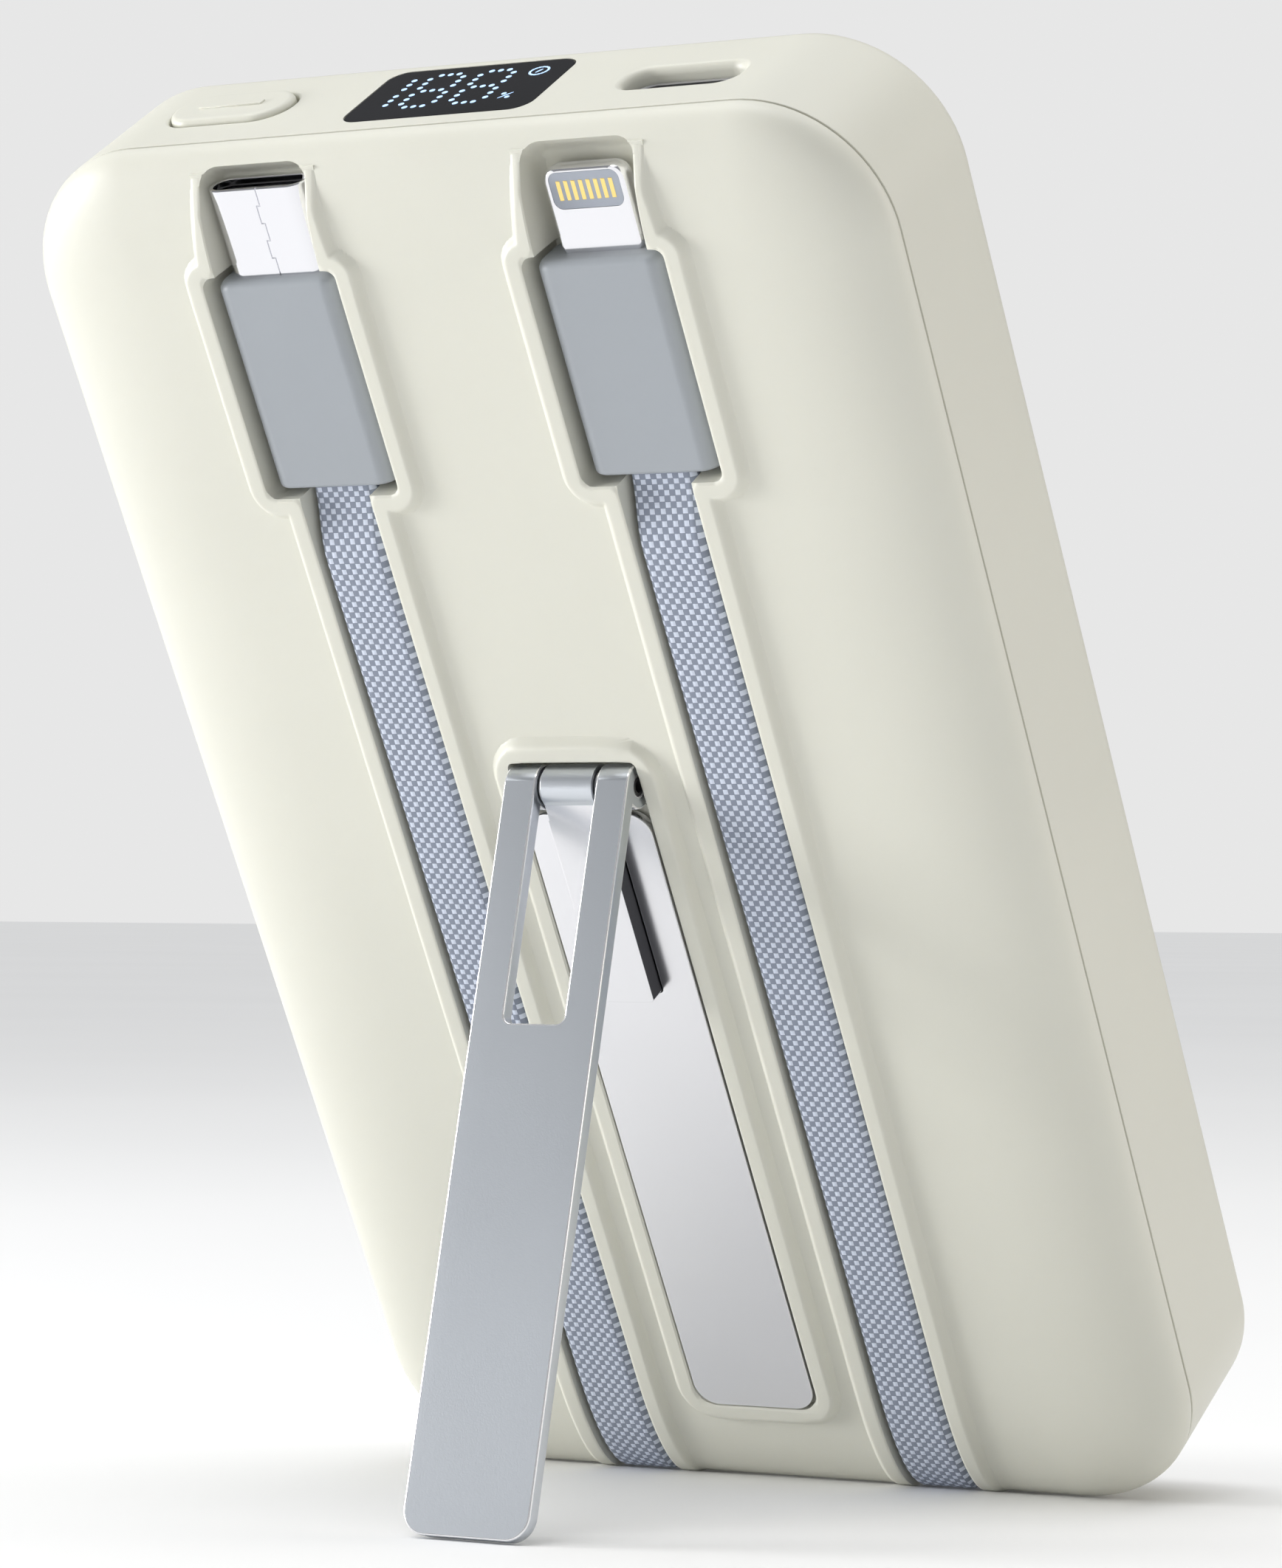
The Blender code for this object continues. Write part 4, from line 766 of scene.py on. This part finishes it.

# %% [markdown]
# ## Case: the front shell
# The deep half of the case is grown the same way: a straight side, a small radius at the charging
# side, and on it a low round boss for the charging pad. Its openings are cut last. The tools for the
# button and the port widen at the mouth, so those edges come out soft, as a mould leaves them.

# %% Front shell
start = SEAM_Y + SEAM_GAP
lip_out, lip_in = WALL + 0.6, WALL + 1.4
inner = [(WALL + FRONT_R, DEPTH - WALL), (WALL, DEPTH - WALL - FRONT_R), (WALL, start + 1.6),
         (lip_in, start + 0.8), (lip_in, SEAM_Y - 0.8), (lip_out, SEAM_Y - 0.8), (lip_out, start)]
outer = [(0.12, start), (0.04, start + 0.03), (0, start + 0.12), (0, DEPTH - FRONT_R)]
outer += [(FRONT_R * (1 - cos(angle)), DEPTH - FRONT_R * (1 - sin(angle)))
          for angle in (pi / 2 * k / 8 for k in range(1, 9))]
shell = grow("front_case_shell", [case_ring(inset, y) for inset, y in inner + outer])
BOSS_R, BOSS_H, BOSS_Z = 28.0, 0.9, HEIGHT - 28.9
PAD_R, PAD_T, PAD_PROUD = 25.5, 0.8, 0.2
PAD_TOP = DEPTH + BOSS_H + PAD_PROUD


def turned(name, profile):
    """A round piece on the pad's axis, through (radius, y) rings."""
    return grow(name, [
        at_depth(list(arc((0, BOSS_Z), r, 0, 2 * pi, 128))[:-1], y) for r, y in profile])


boss = turned("boss", ((BOSS_R, DEPTH - 1.4), (BOSS_R, DEPTH + 0.4), (BOSS_R - 0.15, DEPTH + 0.7),
                       (BOSS_R - 0.5, DEPTH + BOSS_H)))
combine(shell, boss, "UNION")
seat = PAD_TOP - PAD_T - 0.3
combine(shell, round_bar("pad_seat", PAD_R + 0.2, (0, seat + 5, BOSS_Z), 5, "Y", 128))

# %% [markdown]
# Three things sit in the top edge: a long button, the display's window and a charging port. The port's
# opening has a wide, soft lip, so its tool widens towards the mouth.

# %% Openings in the top edge
TOP_Y = 9.9
BUTTON_X, BUTTON_W, BUTTON_D = -19.5, 10.2, 5.0
DISPLAY_W, DISPLAY_D, DISPLAY_R = 15.7, 9.2, 1.6
PORT_X, PORT_Y, PORT_W, PORT_D = 18.6, 9.3, 8.9, 3.2


def stack(name, centre, levels, steps=12):
    """A piece grown upwards through rounded outlines: (width, depth, radius, z) levels."""
    x, y = centre
    return grow(name, [
        at_height(rounded((x - w / 2, y - d / 2), (x + w / 2, y + d / 2), r, steps), z)
        for w, d, r, z in levels])


BUTTON_AT, DISPLAY_AT, PORT_AT = (BUTTON_X, TOP_Y), (0, TOP_Y), (PORT_X, PORT_Y)
w, d, r = BUTTON_W + 0.4, BUTTON_D + 0.4, (BUTTON_D + 0.4) * 0.49
combine(shell, stack("button_tool", BUTTON_AT, (
    (w, d, r, HEIGHT - 5), (w, d, r, HEIGHT - 0.25), (w + 0.15, d + 0.15, r, HEIGHT - 0.08),
    (w + 0.5, d + 0.5, d * 0.5, HEIGHT + 0.02), (w + 0.6, d + 0.6, d * 0.5, HEIGHT + 3))))
w, d = DISPLAY_W + 0.16, DISPLAY_D + 0.16
combine(shell, stack("window_tool", DISPLAY_AT, (
    (w, d, DISPLAY_R, HEIGHT - 1.3), (w, d, DISPLAY_R, HEIGHT + 3))))
combine(shell, stack("module_tool", DISPLAY_AT, (
    (w - 3, d - 2, 0.8, HEIGHT - 5), (w - 3, d - 2, 0.8, HEIGHT - 1))))
w, d = PORT_W + 0.4, PORT_D + 0.4
combine(shell, stack("port_tool", PORT_AT, (
    (w, d, d * 0.47, HEIGHT - 5), (w, d, d * 0.47, HEIGHT - 0.7),
    (w + 0.12, d + 0.12, d * 0.48, HEIGHT - 0.35), (w + 0.5, d + 0.5, d * 0.5, HEIGHT - 0.1),
    (w + 1.0, d + 1.0, d * 0.53, HEIGHT + 0.02), (w + 1.1, d + 1.1, d * 0.53, HEIGHT + 3))))
half = POCKET_W / 2 + TUB + 0.3
for side in (-1, 1):
    combine(shell, channel_tool(side))
    combine(shell, exit_tool(side))
    low = (side * CABLE_X - half, -2, POCKET_TOP)
    high = (side * CABLE_X + half, SEAM_Y + 2.4, HEIGHT - WALL - 0.1)
    combine(shell, block("lip_notch", low, high, 0.5))
hand_over(shell, "housing", [cream], "cream_plastic", "front_shell")

# %% [markdown]
# ## Charging pad
# A soft round pad is set into the boss. Its edge is rounded, and a shallow ring is pressed into it over
# the magnets, which a plain disc would not show.

# %% Charging pad
pad = turned("charging_pad_disc", (
    (PAD_R, PAD_TOP - PAD_T), (PAD_R, PAD_TOP - 0.2), (PAD_R - 0.06, PAD_TOP - 0.06),
    (PAD_R - 0.2, PAD_TOP), (24.4, PAD_TOP), (24.3, PAD_TOP - 0.06), (21.9, PAD_TOP - 0.06),
    (21.8, PAD_TOP)))
hand_over(pad, "housing", [pad_rubber], "cream_silicone", "charging_pad")

# %% [markdown]
# ## Button
# The button is a long pill that stands a little proud, with a raised bar to find it by touch. Its
# flange stays under the wall and keeps it from falling out.

# %% Button
w, d, edge, under = BUTTON_W, BUTTON_D, 0.45, -WALL - 0.2
levels = [(w + 1.4, d + 1.4, (d + 1.4) * 0.49, HEIGHT + under - 0.7),
          (w + 1.4, d + 1.4, (d + 1.4) * 0.49, HEIGHT + under), (w, d, d * 0.49, HEIGHT + under)]
for k in range(7):
    angle = pi / 2 * k / 6
    cut = 2 * edge * (1 - cos(angle))
    levels.append((w - cut, d - cut, (d - cut) * 0.49, HEIGHT + 0.36 - edge * (1 - sin(angle))))
button = stack("power_button_pill", BUTTON_AT, levels)
low = (BUTTON_X - 2.75, TOP_Y - 0.35, HEIGHT + 0.2)
high = (BUTTON_X + 2.75, TOP_Y + 0.35, HEIGHT + 0.5)
combine(button, ease(block("mark", low, high, 0.3, "Z"), 0.06, 2, 60), "UNION")
hand_over(button, "power_button", [cream], "cream_plastic", "power_button")

# %% [markdown]
# ## Display
# The window is black glass, level with the case. Behind it a grid of lamps draws the charge as
# numerals made of round dots, three to each stroke. A dot is a very short cylinder with few sides.

# %% Window
w, d, r = DISPLAY_W, DISPLAY_D, DISPLAY_R - 0.1
window = stack("display_glass_window", DISPLAY_AT, (
    (w, d, r, HEIGHT - 1), (w, d, r, HEIGHT - 0.06),
    (w - 0.12, d - 0.12, DISPLAY_R - 0.14, HEIGHT)))
hand_over(window, "housing", [black_glass], "black_gloss", "display_window")

# %% Places of the dots
ROWS_LOW, ROWS_HIGH = (8.05, 8.87, 9.68), (10.97, 11.77, 12.57)
dots = [(-5.25, y) for y in ROWS_LOW + ROWS_HIGH]
for left in (-3.9, 0.35):
    dots += [(left + x, y) for x in (0, 2.8) for y in ROWS_LOW + ROWS_HIGH]
    dots += [(left + 0.65 + 0.75 * k, y) for k in range(3) for y in (7.35, 10.3, 13.2)]
print(len(dots), "dots")


# %% Dots, percent sign and a small ring
def lamp(radius, x, y, stretch=1.0, turn=0.0, steps=14):
    """A thin round dot just above the glass, which may be stretched and turned."""
    obj = round_bar("dot", radius, (0, 0, 0), 0.01, "Z", steps)
    place = Matrix.Translation((x, y, HEIGHT + 0.011)) @ Matrix.Rotation(turn, 4, "Z")
    obj.data.transform(place @ Matrix.Diagonal((stretch, 1, 1, 1)))
    return obj


lamps = [lamp(0.23, x, y) for x, y in dots]
lamps += [lamp(0.2, 4.5, 8.45), lamp(0.2, 5.1, 7.75), lamp(0.07, 4.8, 8.1, 9.5, radians(48))]
RING_X, RING_Y, RING_R = 5.35, 12.45, 0.72
for k in range(16):
    angle = 2 * pi * k / 16
    x, y = RING_X + RING_R * cos(angle), RING_Y + RING_R * sin(angle)
    lamps.append(lamp(0.10, x, y, 1.6, angle + pi / 2))
lamps.append(lamp(0.09, RING_X, RING_Y, 4.0, radians(60)))
hand_over(joined(lamps, "display_numerals"), "housing", [glow], "black_gloss")

# %% [markdown]
# ## Charging port
# A drawn steel sleeve with a tongue in it. The sleeve is grown up its outside, over its rim and down
# its inside, which leaves it hollow.

# %% Port sleeve and tongue
z1, z0 = HEIGHT - 1.1, HEIGHT - 8.4
w, d, t = PORT_W, PORT_D, 0.35
in_w, in_d, in_r = w - 2 * t, d - 2 * t, d * 0.48 - t
sleeve = stack("port_sleeve", PORT_AT, (
    (w, d, d * 0.48, z0), (w, d, d * 0.48, z1 - 0.05), (w - 0.1, d - 0.1, d * 0.46, z1),
    (in_w + 0.1, in_d + 0.1, in_r, z1), (in_w, in_d, in_r, z1 - 0.08), (in_w, in_d, in_r, z0 + t)))
hand_over(sleeve, "housing", [plain_steel], "plain_steel", "port_shell")
tongue = stack("port_contact_tongue", PORT_AT, (
    (6.7, 0.7, 0.2, z0 + 0.55), (6.7, 0.7, 0.2, z1 - 1.3), (6.4, 0.45, 0.15, z1 - 1.1)))
hand_over(tongue, "housing", [black_plastic], "black_plastic", "port_tongue")

# %% [markdown]
# ## Kickstand
# The leg is a blasted aluminium strip with two ears that turn on a pin. A slot in it lets the leg close
# over the tongue of the bracket. Its faces are satin, while every edge was cut afterwards by a
# polishing cutter. So the bevel that rounds the edges is given a second, polished finish.

# %% Leg
SLOT_END, BORE_R = -18.4, 0.71
half, slot_half = LEG_W / 2, 2.6
back = LEG_T - EAR_R
meet = -atan2((EAR_R ** 2 - back ** 2) ** 0.5, back)
profile = list(arc((0, 0), EAR_R, pi, meet, 60)) + [(back, -LEG_L - 1), (-EAR_R, -LEG_L - 1)]
sides = [[Vector((x, y, z)) for y, z in profile] for x in (-half - 0.5, half + 0.5)]
leg = grow("kickstand_leg_strip", sides)
outline = block("outline", (-half, -REACH, -LEG_L), (half, REACH, 10), 1.9, "Y", 14)
combine(leg, outline, "INTERSECT")
combine(leg, block("slot", (-slot_half, -REACH, SLOT_END), (slot_half, REACH, REACH), 0.7, "Y", 8))
combine(leg, round_bar("bore", BORE_R, (0, 0, 0), 9, "X", 40))
ease(leg, 0.15, 2, 42, 1, clamp=False)
FOLD = Matrix.Translation((0, AXIS_Y, AXIS_Z))
OPEN = FOLD @ Matrix.Rotation(-LEG_OPEN, 4, "X")
hand_over(leg, "kickstand", [satin_metal, polished], "satin_metal", "kickstand_leg",
          smooth=28, turn=OPEN)

# %% Bracket with its barrel and tongue
half, barrel_half = 2.3, 2.2
bracket = block("bracket_tongue", (-half, -1.55, SLOT_END + 0.6), (half, 0.75, 0), 0.35, "Y", 5)
combine(bracket, round_bar("barrel", EAR_R, (0, 0, 0), barrel_half, "X", 72), "UNION")
combine(bracket, round_bar("bore", BORE_R, (0, 0, 0), 9, "X", 40))
for low_x, high_x in ((-5, -barrel_half), (barrel_half, 5)):
    combine(bracket, block("ear_room", (low_x, -REACH, -2.05), (high_x, REACH, REACH)))
ease(bracket, 0.09, 2, 42, 1)
# Faces round the axis are the barrel. The tongue's sides and underside get the near-black metal, as
# painted shade.
BARREL, PAINTED_SHADE = 2, 3
for face in bracket.data.polygons:
    at, out = face.center, face.normal
    if Vector((0, at.y, at.z)).length < EAR_R + 0.1:
        face.material_index = BARREL
    elif abs(out.x) > 0.9 or out.z < -0.9:
        face.material_index = PAINTED_SHADE
hand_over(bracket, "housing", [plate_metal, polished, satin_metal, painted_shade_metal], "bright_metal",
          "hinge_bracket", smooth=28, turn=FOLD)

# %% [markdown]
# The hinge pin's ends are drilled, and the walls of each drill hole are painted near black as painted
# shade, so each ear shows a small dark hole.

# %% Pin
PIN_HALF, DRILL_R = 5.27, 0.46
pin = round_bar("hinge_pin_rod", 0.69, (0, 0, 0), PIN_HALF, "X", 40)
for x in (-PIN_HALF, PIN_HALF):
    combine(pin, round_bar("drill", DRILL_R, (x, 0, 0), 1.2, "X", 32))
# The drill holes' walls take the near-black finish: painted shade.
for face in pin.data.polygons:
    from_axis = Vector((0, face.center.y, face.center.z)).length
    face.material_index = 1 if from_axis < DRILL_R + 0.01 else 0
hand_over(pin, "housing", [plain_steel, painted_shade_hole], "plain_steel", "hinge_pin",
          smooth=28, turn=FOLD)

# %% [markdown]
# The plate that lines the recess is mirror polished. The bracket's tongue passes through its slot.

# %% Plate
half, top = LEG_W / 2, -RIM_H
low, high = (-half, top, FOOT_Z), (half, top + PLATE_T, AXIS_Z - 2.3)
plate = block("recess_plate", low, high, 1.9, "Y", 12)
low, high = (-2.35, -REACH, AXIS_Z + SLOT_END + 0.55), (2.35, REACH, AXIS_Z + REACH)
combine(plate, block("slot", low, high, 0.35, "Y", 5))
ease(plate, 0.10, 2, 42, 1)
hand_over(plate, "housing", [plate_metal, polished], "bright_metal", "kickstand_plate", smooth=28)

# %% [markdown]
# ## Cables
# A flat cable is a woven sleeve over flat wires. The weave is real relief here: each crossing bulges
# where its yarn comes up and dips where it goes under. Rows of points follow the cable's path at a
# quarter of a yarn. It is made as a mesh from its rows, since it is soft goods and crosses a joint. It
# stays where it is made, tied to neither the housing nor its plug.


# %% Even steps along a path
def even_path(path, step):
    """The same path in even steps, and how far along it each point is."""
    p = np.array(path)
    length = np.concatenate([[0], np.cumsum(np.linalg.norm(np.diff(p, axis=0), axis=1))])
    keep = np.concatenate([[True], np.diff(length) > 1e-6])
    p, length = p[keep], length[keep]
    places = np.linspace(0, length[-1], int(length[-1] / step) + 1)
    return np.stack([np.interp(places, length, p[:, k]) for k in (0, 1)], 1), places


# %% Woven ribbon
PER_YARN, RELIEF, EDGE_SHARE = 4, 0.045, 0.12


def ribbon(side, name):
    """A flat woven cable: a relief of yarns on top, plain below, with a UV map of crossings."""
    cell = RIBBON_W / YARNS
    end_y = 1.45
    middle = ribbon_path(end_y, 60) + [(end_y, OVERMOULD_BOTTOM + 0.5)]
    path, places = even_path(middle, cell / PER_YARN)
    normals = outward(path)
    u = np.linspace(0, 1, YARNS * PER_YARN + 1)
    v = places / cell
    x = (u - 0.5) * RIBBON_W
    drop = np.clip((EDGE_SHARE - np.minimum(u, 1 - u)) / EDGE_SHARE, 0, 1)
    half_t = RIBBON_T / 2 * (1 - 0.72 * drop ** 2.2)
    across = np.abs(np.sin(pi * u[None, :] * YARNS)) * np.abs(np.sin(pi * v[:, None]))
    even = ((np.floor(u[None, :] * YARNS - 1e-6) + np.floor(v[:, None])) % 2) * 2 - 1
    bulge = RELIEF * (across ** 0.7 * np.where(even < 0, 1.0, 0.35) - 0.5)

    def rows_at(x, out):
        """Points at places across the cable and heights above its middle."""
        return np.stack([np.broadcast_to(side * CABLE_X + x, out.shape),
                         path[:, :1] + normals[:, :1] * out, path[:, 1:] + normals[:, 1:] * out], 2)

    top = rows_at(x, half_t[None, :] + bulge - RELIEF * 0.5)
    under = rows_at(x[::-PER_YARN], np.tile(-half_t[::-PER_YARN], (len(path), 1)))
    rows = np.concatenate([top, under], 1)
    count, wide = rows.shape[:2]
    first = np.arange(count - 1)[:, None] * wide
    here, after = np.arange(wide), np.roll(np.arange(wide), -1)
    corners = [first + here, first + after, first + wide + after, first + wide + here]
    faces = np.stack(corners, 2).reshape(-1, 4).tolist()
    caps = [list(range(wide))[::-1], list(range((count - 1) * wide, count * wide))]
    mesh = bpy.data.meshes.new(name)
    mesh.from_pydata(rows.reshape(-1, 3).tolist(), [], faces + caps)
    around = np.concatenate([u * YARNS, u[::-PER_YARN] * YARNS])
    index = np.zeros(len(mesh.loops), int)
    mesh.loops.foreach_get("vertex_index", index)
    uv = np.stack([around[index % wide], v[index // wide]], 1)
    mesh.uv_layers.new(name="UVMap").data.foreach_set("uv", uv.ravel())
    obj = bpy.data.objects.new(name, mesh)
    bpy.context.scene.collection.objects.link(obj)
    face_out(obj)
    mesh.transform(CASE)
    mesh.materials.append(weave)
    mesh.shade_smooth()
    print(name, f"{places[-1]:.1f} mm long,", len(mesh.polygons), "faces")
    return obj


cables = (("left", "oval_cable", -1), ("right", "blade_cable", 1))
for word, body, side in cables:
    cloth = ribbon(side, word + "_woven_ribbon")
    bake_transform(cloth)
    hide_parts(word + "_ribbon", word + "_ribbon_root")

# %% [markdown]
# Each cable ends in a moulded grip. It is a block with generous edges, tighter at its lower end, so
# its rings are rounded rectangles that shrink along a quarter circle at each end.


# %% Grips
def grip(side, name):
    """A block whose two ends are rounded, each with its own radius."""
    w, t = OVERMOULD_W, OVERMOULD_T
    levels = []
    for radius, z, sign in ((0.35, OVERMOULD_BOTTOM, 1), (0.75, OVERMOULD_TOP, -1)):
        end = []
        for k in range(7):
            angle = pi / 2 * k / 6
            inset = radius * (1 - sin(angle))
            height = z + sign * radius * (1 - cos(angle))
            end.append((w - 2 * inset, t - 2 * inset, 1.3 - inset * 0.6, height))
        levels += end[::sign]
    return stack(name, (side * CABLE_X, OVERMOULD_Y), levels)


for word, body, side in cables:
    hand_over(grip(side, word + "_grip"), body, [grip_grey], "grey_grip", word + "_overmould")

# %% [markdown]
# ## Oval plug
# Its shell is rolled from one sheet, so a stepped seam runs down its face. Small blocks cut the seam as
# a fine groove. The shell is hollow, with a dark liner in it that leaves the slot for the contacts.

# %% Oval plug
OVAL_W, OVAL_D, OVAL_L, OVAL_T = 8.3, 2.5, 6.8, 0.3
SEAM_STEPS, SEAM_HALF, SEAM_DEEP = 5, 0.05, 0.16
x, y = oval_at = -CABLE_X, OVERMOULD_Y
root, tip = OVERMOULD_TOP, OVERMOULD_TOP + OVAL_L
w, d, t = OVAL_W, OVAL_D, OVAL_T
in_w, in_d, in_r = w - 2 * t, d - 2 * t, d * 0.49 - t
plug = stack("oval_plug_sleeve", oval_at, (
    (w, d, d * 0.49, root - 0.5), (w, d, d * 0.49, tip - 0.08), (w - 0.16, d - 0.16, d * 0.46, tip),
    (in_w + 0.06, in_d + 0.06, in_r, tip), (in_w, in_d, in_r, tip - 0.05),
    (in_w, in_d, in_r, root)), 14)
step = OVAL_L / SEAM_STEPS
bottom = y - d / 2 + SEAM_DEEP
for k in range(SEAM_STEPS):
    seam_x = x + 0.2 + (0.14 if k % 2 == 0 else -0.14)
    start, end = root + k * step, root + k * step + step
    low, high = (seam_x - SEAM_HALF, y - 2, start), (seam_x + SEAM_HALF, bottom, end + SEAM_HALF)
    combine(plug, block("seam", low, high))
    if k < SEAM_STEPS - 1:
        low, high = (x + 0.01, y - 2, end - SEAM_HALF), (x + 0.39, bottom, end + SEAM_HALF)
        combine(plug, block("seam", low, high))
hand_over(plug, "oval_cable", [mirror], "bright_metal", "oval_plug_shell", smooth=30)
liner = stack("oval_plug_dark_liner", oval_at, (
    (7.2, 1.45, 0.7, root + 0.2), (7.2, 1.45, 0.7, tip - 0.6), (6.6, 0.9, 0.42, tip - 0.6),
    (6.6, 0.9, 0.42, root + 0.8)), 10)
hand_over(liner, "oval_cable", [black_plastic], "black_plastic", "oval_plug_liner")

# %% [markdown]
# ## Blade plug
# A flat metal tongue with rounded corners. A grey panel is set into its face, with eight gold contacts
# in it, small blocks at an even pitch.

# %% Blade and panel
BLADE_HALF, BLADE_L, BLADE_HALF_T = 3.35, 6.4, 0.75
x, half, t, tip = CABLE_X, BLADE_HALF, BLADE_HALF_T, root + BLADE_L
insets = ((0.35, 1), (0.16, 0.88), (0.04, 0.62), (0, 0.35))
levels = [(inset, -t * share) for inset, share in insets]
levels += [(inset, t * share) for inset, share in insets[::-1]]
blade = grow("blade_plug_tongue", [
    at_depth(rounded((x - half + inset, root - 0.5),
                     (x + half - inset, tip - inset * 0.6), 1.1, 10), y + depth)
    for inset, depth in levels])
half_panel = half - 0.53
low, high = (x - half_panel, y - 3, tip - 3.1), (x + half_panel, y - t * 0.4, tip - 0.32)
combine(blade, block("panel_seat", low, high, 0.7, "Y", 8))
hand_over(blade, "blade_cable", [mirror], "bright_metal", "blade_plug", smooth=30)
GAP = 0.015
low = (low[0] + GAP, y - t, low[2] + GAP)
high = (high[0] - GAP, high[1] - 0.04, high[2] - GAP)
panel = ease(block("contact_panel_insert", low, high, 0.66, "Y", 8), 0.04, 2, 50)
hand_over(panel, "blade_cable", [panel_grey], "panel_plastic", "contact_panel")

# %% Contacts
PITCH, CONTACT_HALF = 0.6, 0.17
contacts = []
for k in range(8):
    middle = x + (k - 3.5) * PITCH
    low = (middle - CONTACT_HALF, y - t - 0.025, tip - 2.45)
    high = (middle + CONTACT_HALF, y - t + 0.2, tip - 0.95)
    contacts.append(block("contact", low, high, 0.05, "Y", 2))
strip = ease(joined(contacts, "gold_contacts"), 0.03, 1, 60)
hand_over(strip, "blade_cable", [contact_gold], "bright_metal")

# %% [markdown]
# ## Inside
# The pieces inside the case keep their CAD shape, since nothing of them shows. They still get the
# finish of what they are: foil for the cells, copper for the coil, nickel for the magnets.

# %% Finishes of the inner pieces
INNER = {
    foil: ("front_cell", "rear_cell"), copper: ("charging_coil",), ferrite: ("ferrite_sheet",),
    magnet_nickel: ("magnet_ring", "bar_magnet"), board_green: ("main_board",),
    white_plastic: ("cell_frame",),
    black_plastic: ("display_module", "button_switch", "left_gland", "right_gland", "thermistor"),
    plain_steel: ("left_washer", "right_washer", "upper_hinge_screw", "lower_hinge_screw",
                  "left_board_screw", "right_board_screw"),
}
for material, names in INNER.items():
    for name in names:
        mesh = frame["nodes"][name].data
        mesh.materials.clear()
        mesh.materials.append(material)
print(sum(len(names) for names in INNER.values()), "inner pieces dressed")

# %% [markdown]
# ## Floor and light
# A plain pale floor, and soft boxes above and beside it, as in a product studio. Polished metal shows
# what stands round it, so the boxes are large and the dark gaps between them give it its shape. A very
# wide sun adds an even light from above, and the backdrop is brighter than the light that it gives.


# %% Floor
deselect()
bpy.ops.mesh.primitive_plane_add(size=30)
floor = bpy.context.object
floor.name = "floor"
pale = new_finish("pale_floor", (0.93, 0.93, 0.93), 0.7, spread=0.01, patch=3, grain=200)
floor.data.materials.append(pale)

# %% World
world = bpy.data.worlds.new("studio")
bpy.context.scene.world = world
world.use_nodes = True
sky = world.node_tree
walls = fill_in(sky.nodes["Background"], Color=(0.96, 0.98, 1, 1), Strength=0.30)
backdrop = sky.nodes.new("ShaderNodeBackground")
fill_in(backdrop, Color=(1, 1, 1, 1), Strength=0.80)
seen = sky.nodes.new("ShaderNodeLightPath")
either = sky.nodes.new("ShaderNodeMixShader")
sky.links.new(seen.outputs["Is Camera Ray"], either.inputs[0])
sky.links.new(walls.outputs[0], either.inputs[1])
sky.links.new(backdrop.outputs[0], either.inputs[2])
sky.links.new(either.outputs[0], sky.nodes["World Output"].inputs["Surface"])
bpy.context.scene.view_settings.view_transform = "Standard"


# %% Soft boxes
def soft_box(name, place, width, height, power, colour=(1, 1, 1)):
    """A rectangular light aimed at the middle of the case."""
    light = bpy.data.lights.new(name, "AREA")
    light.shape = "RECTANGLE"
    light.size, light.size_y = width, height
    light.energy = power
    light.color = colour
    obj = bpy.data.objects.new(name, light)
    bpy.context.scene.collection.objects.link(obj)
    obj.location = place
    to_case = Vector((0, 0, 0.055)) - Vector(place)
    obj.rotation_euler = to_case.to_track_quat("-Z", "Y").to_euler()
    print(name, power, "W")
    return obj


soft_box("top_box", (-0.1, -0.3, 0.8), 0.5, 0.5, 1.6)
soft_box("key_box", (-0.78, -0.34, 0.16), 0.3, 0.3, 6.0)
soft_box("side_box", (0.75, 0.4, 0.3), 0.5, 0.5, 1.7, (1, 0.93, 0.86))
overhead = bpy.data.objects.new("overhead", bpy.data.lights.new("overhead", "SUN"))
overhead.data.energy, overhead.data.angle = 1.5, radians(70)
bpy.context.scene.collection.objects.link(overhead)
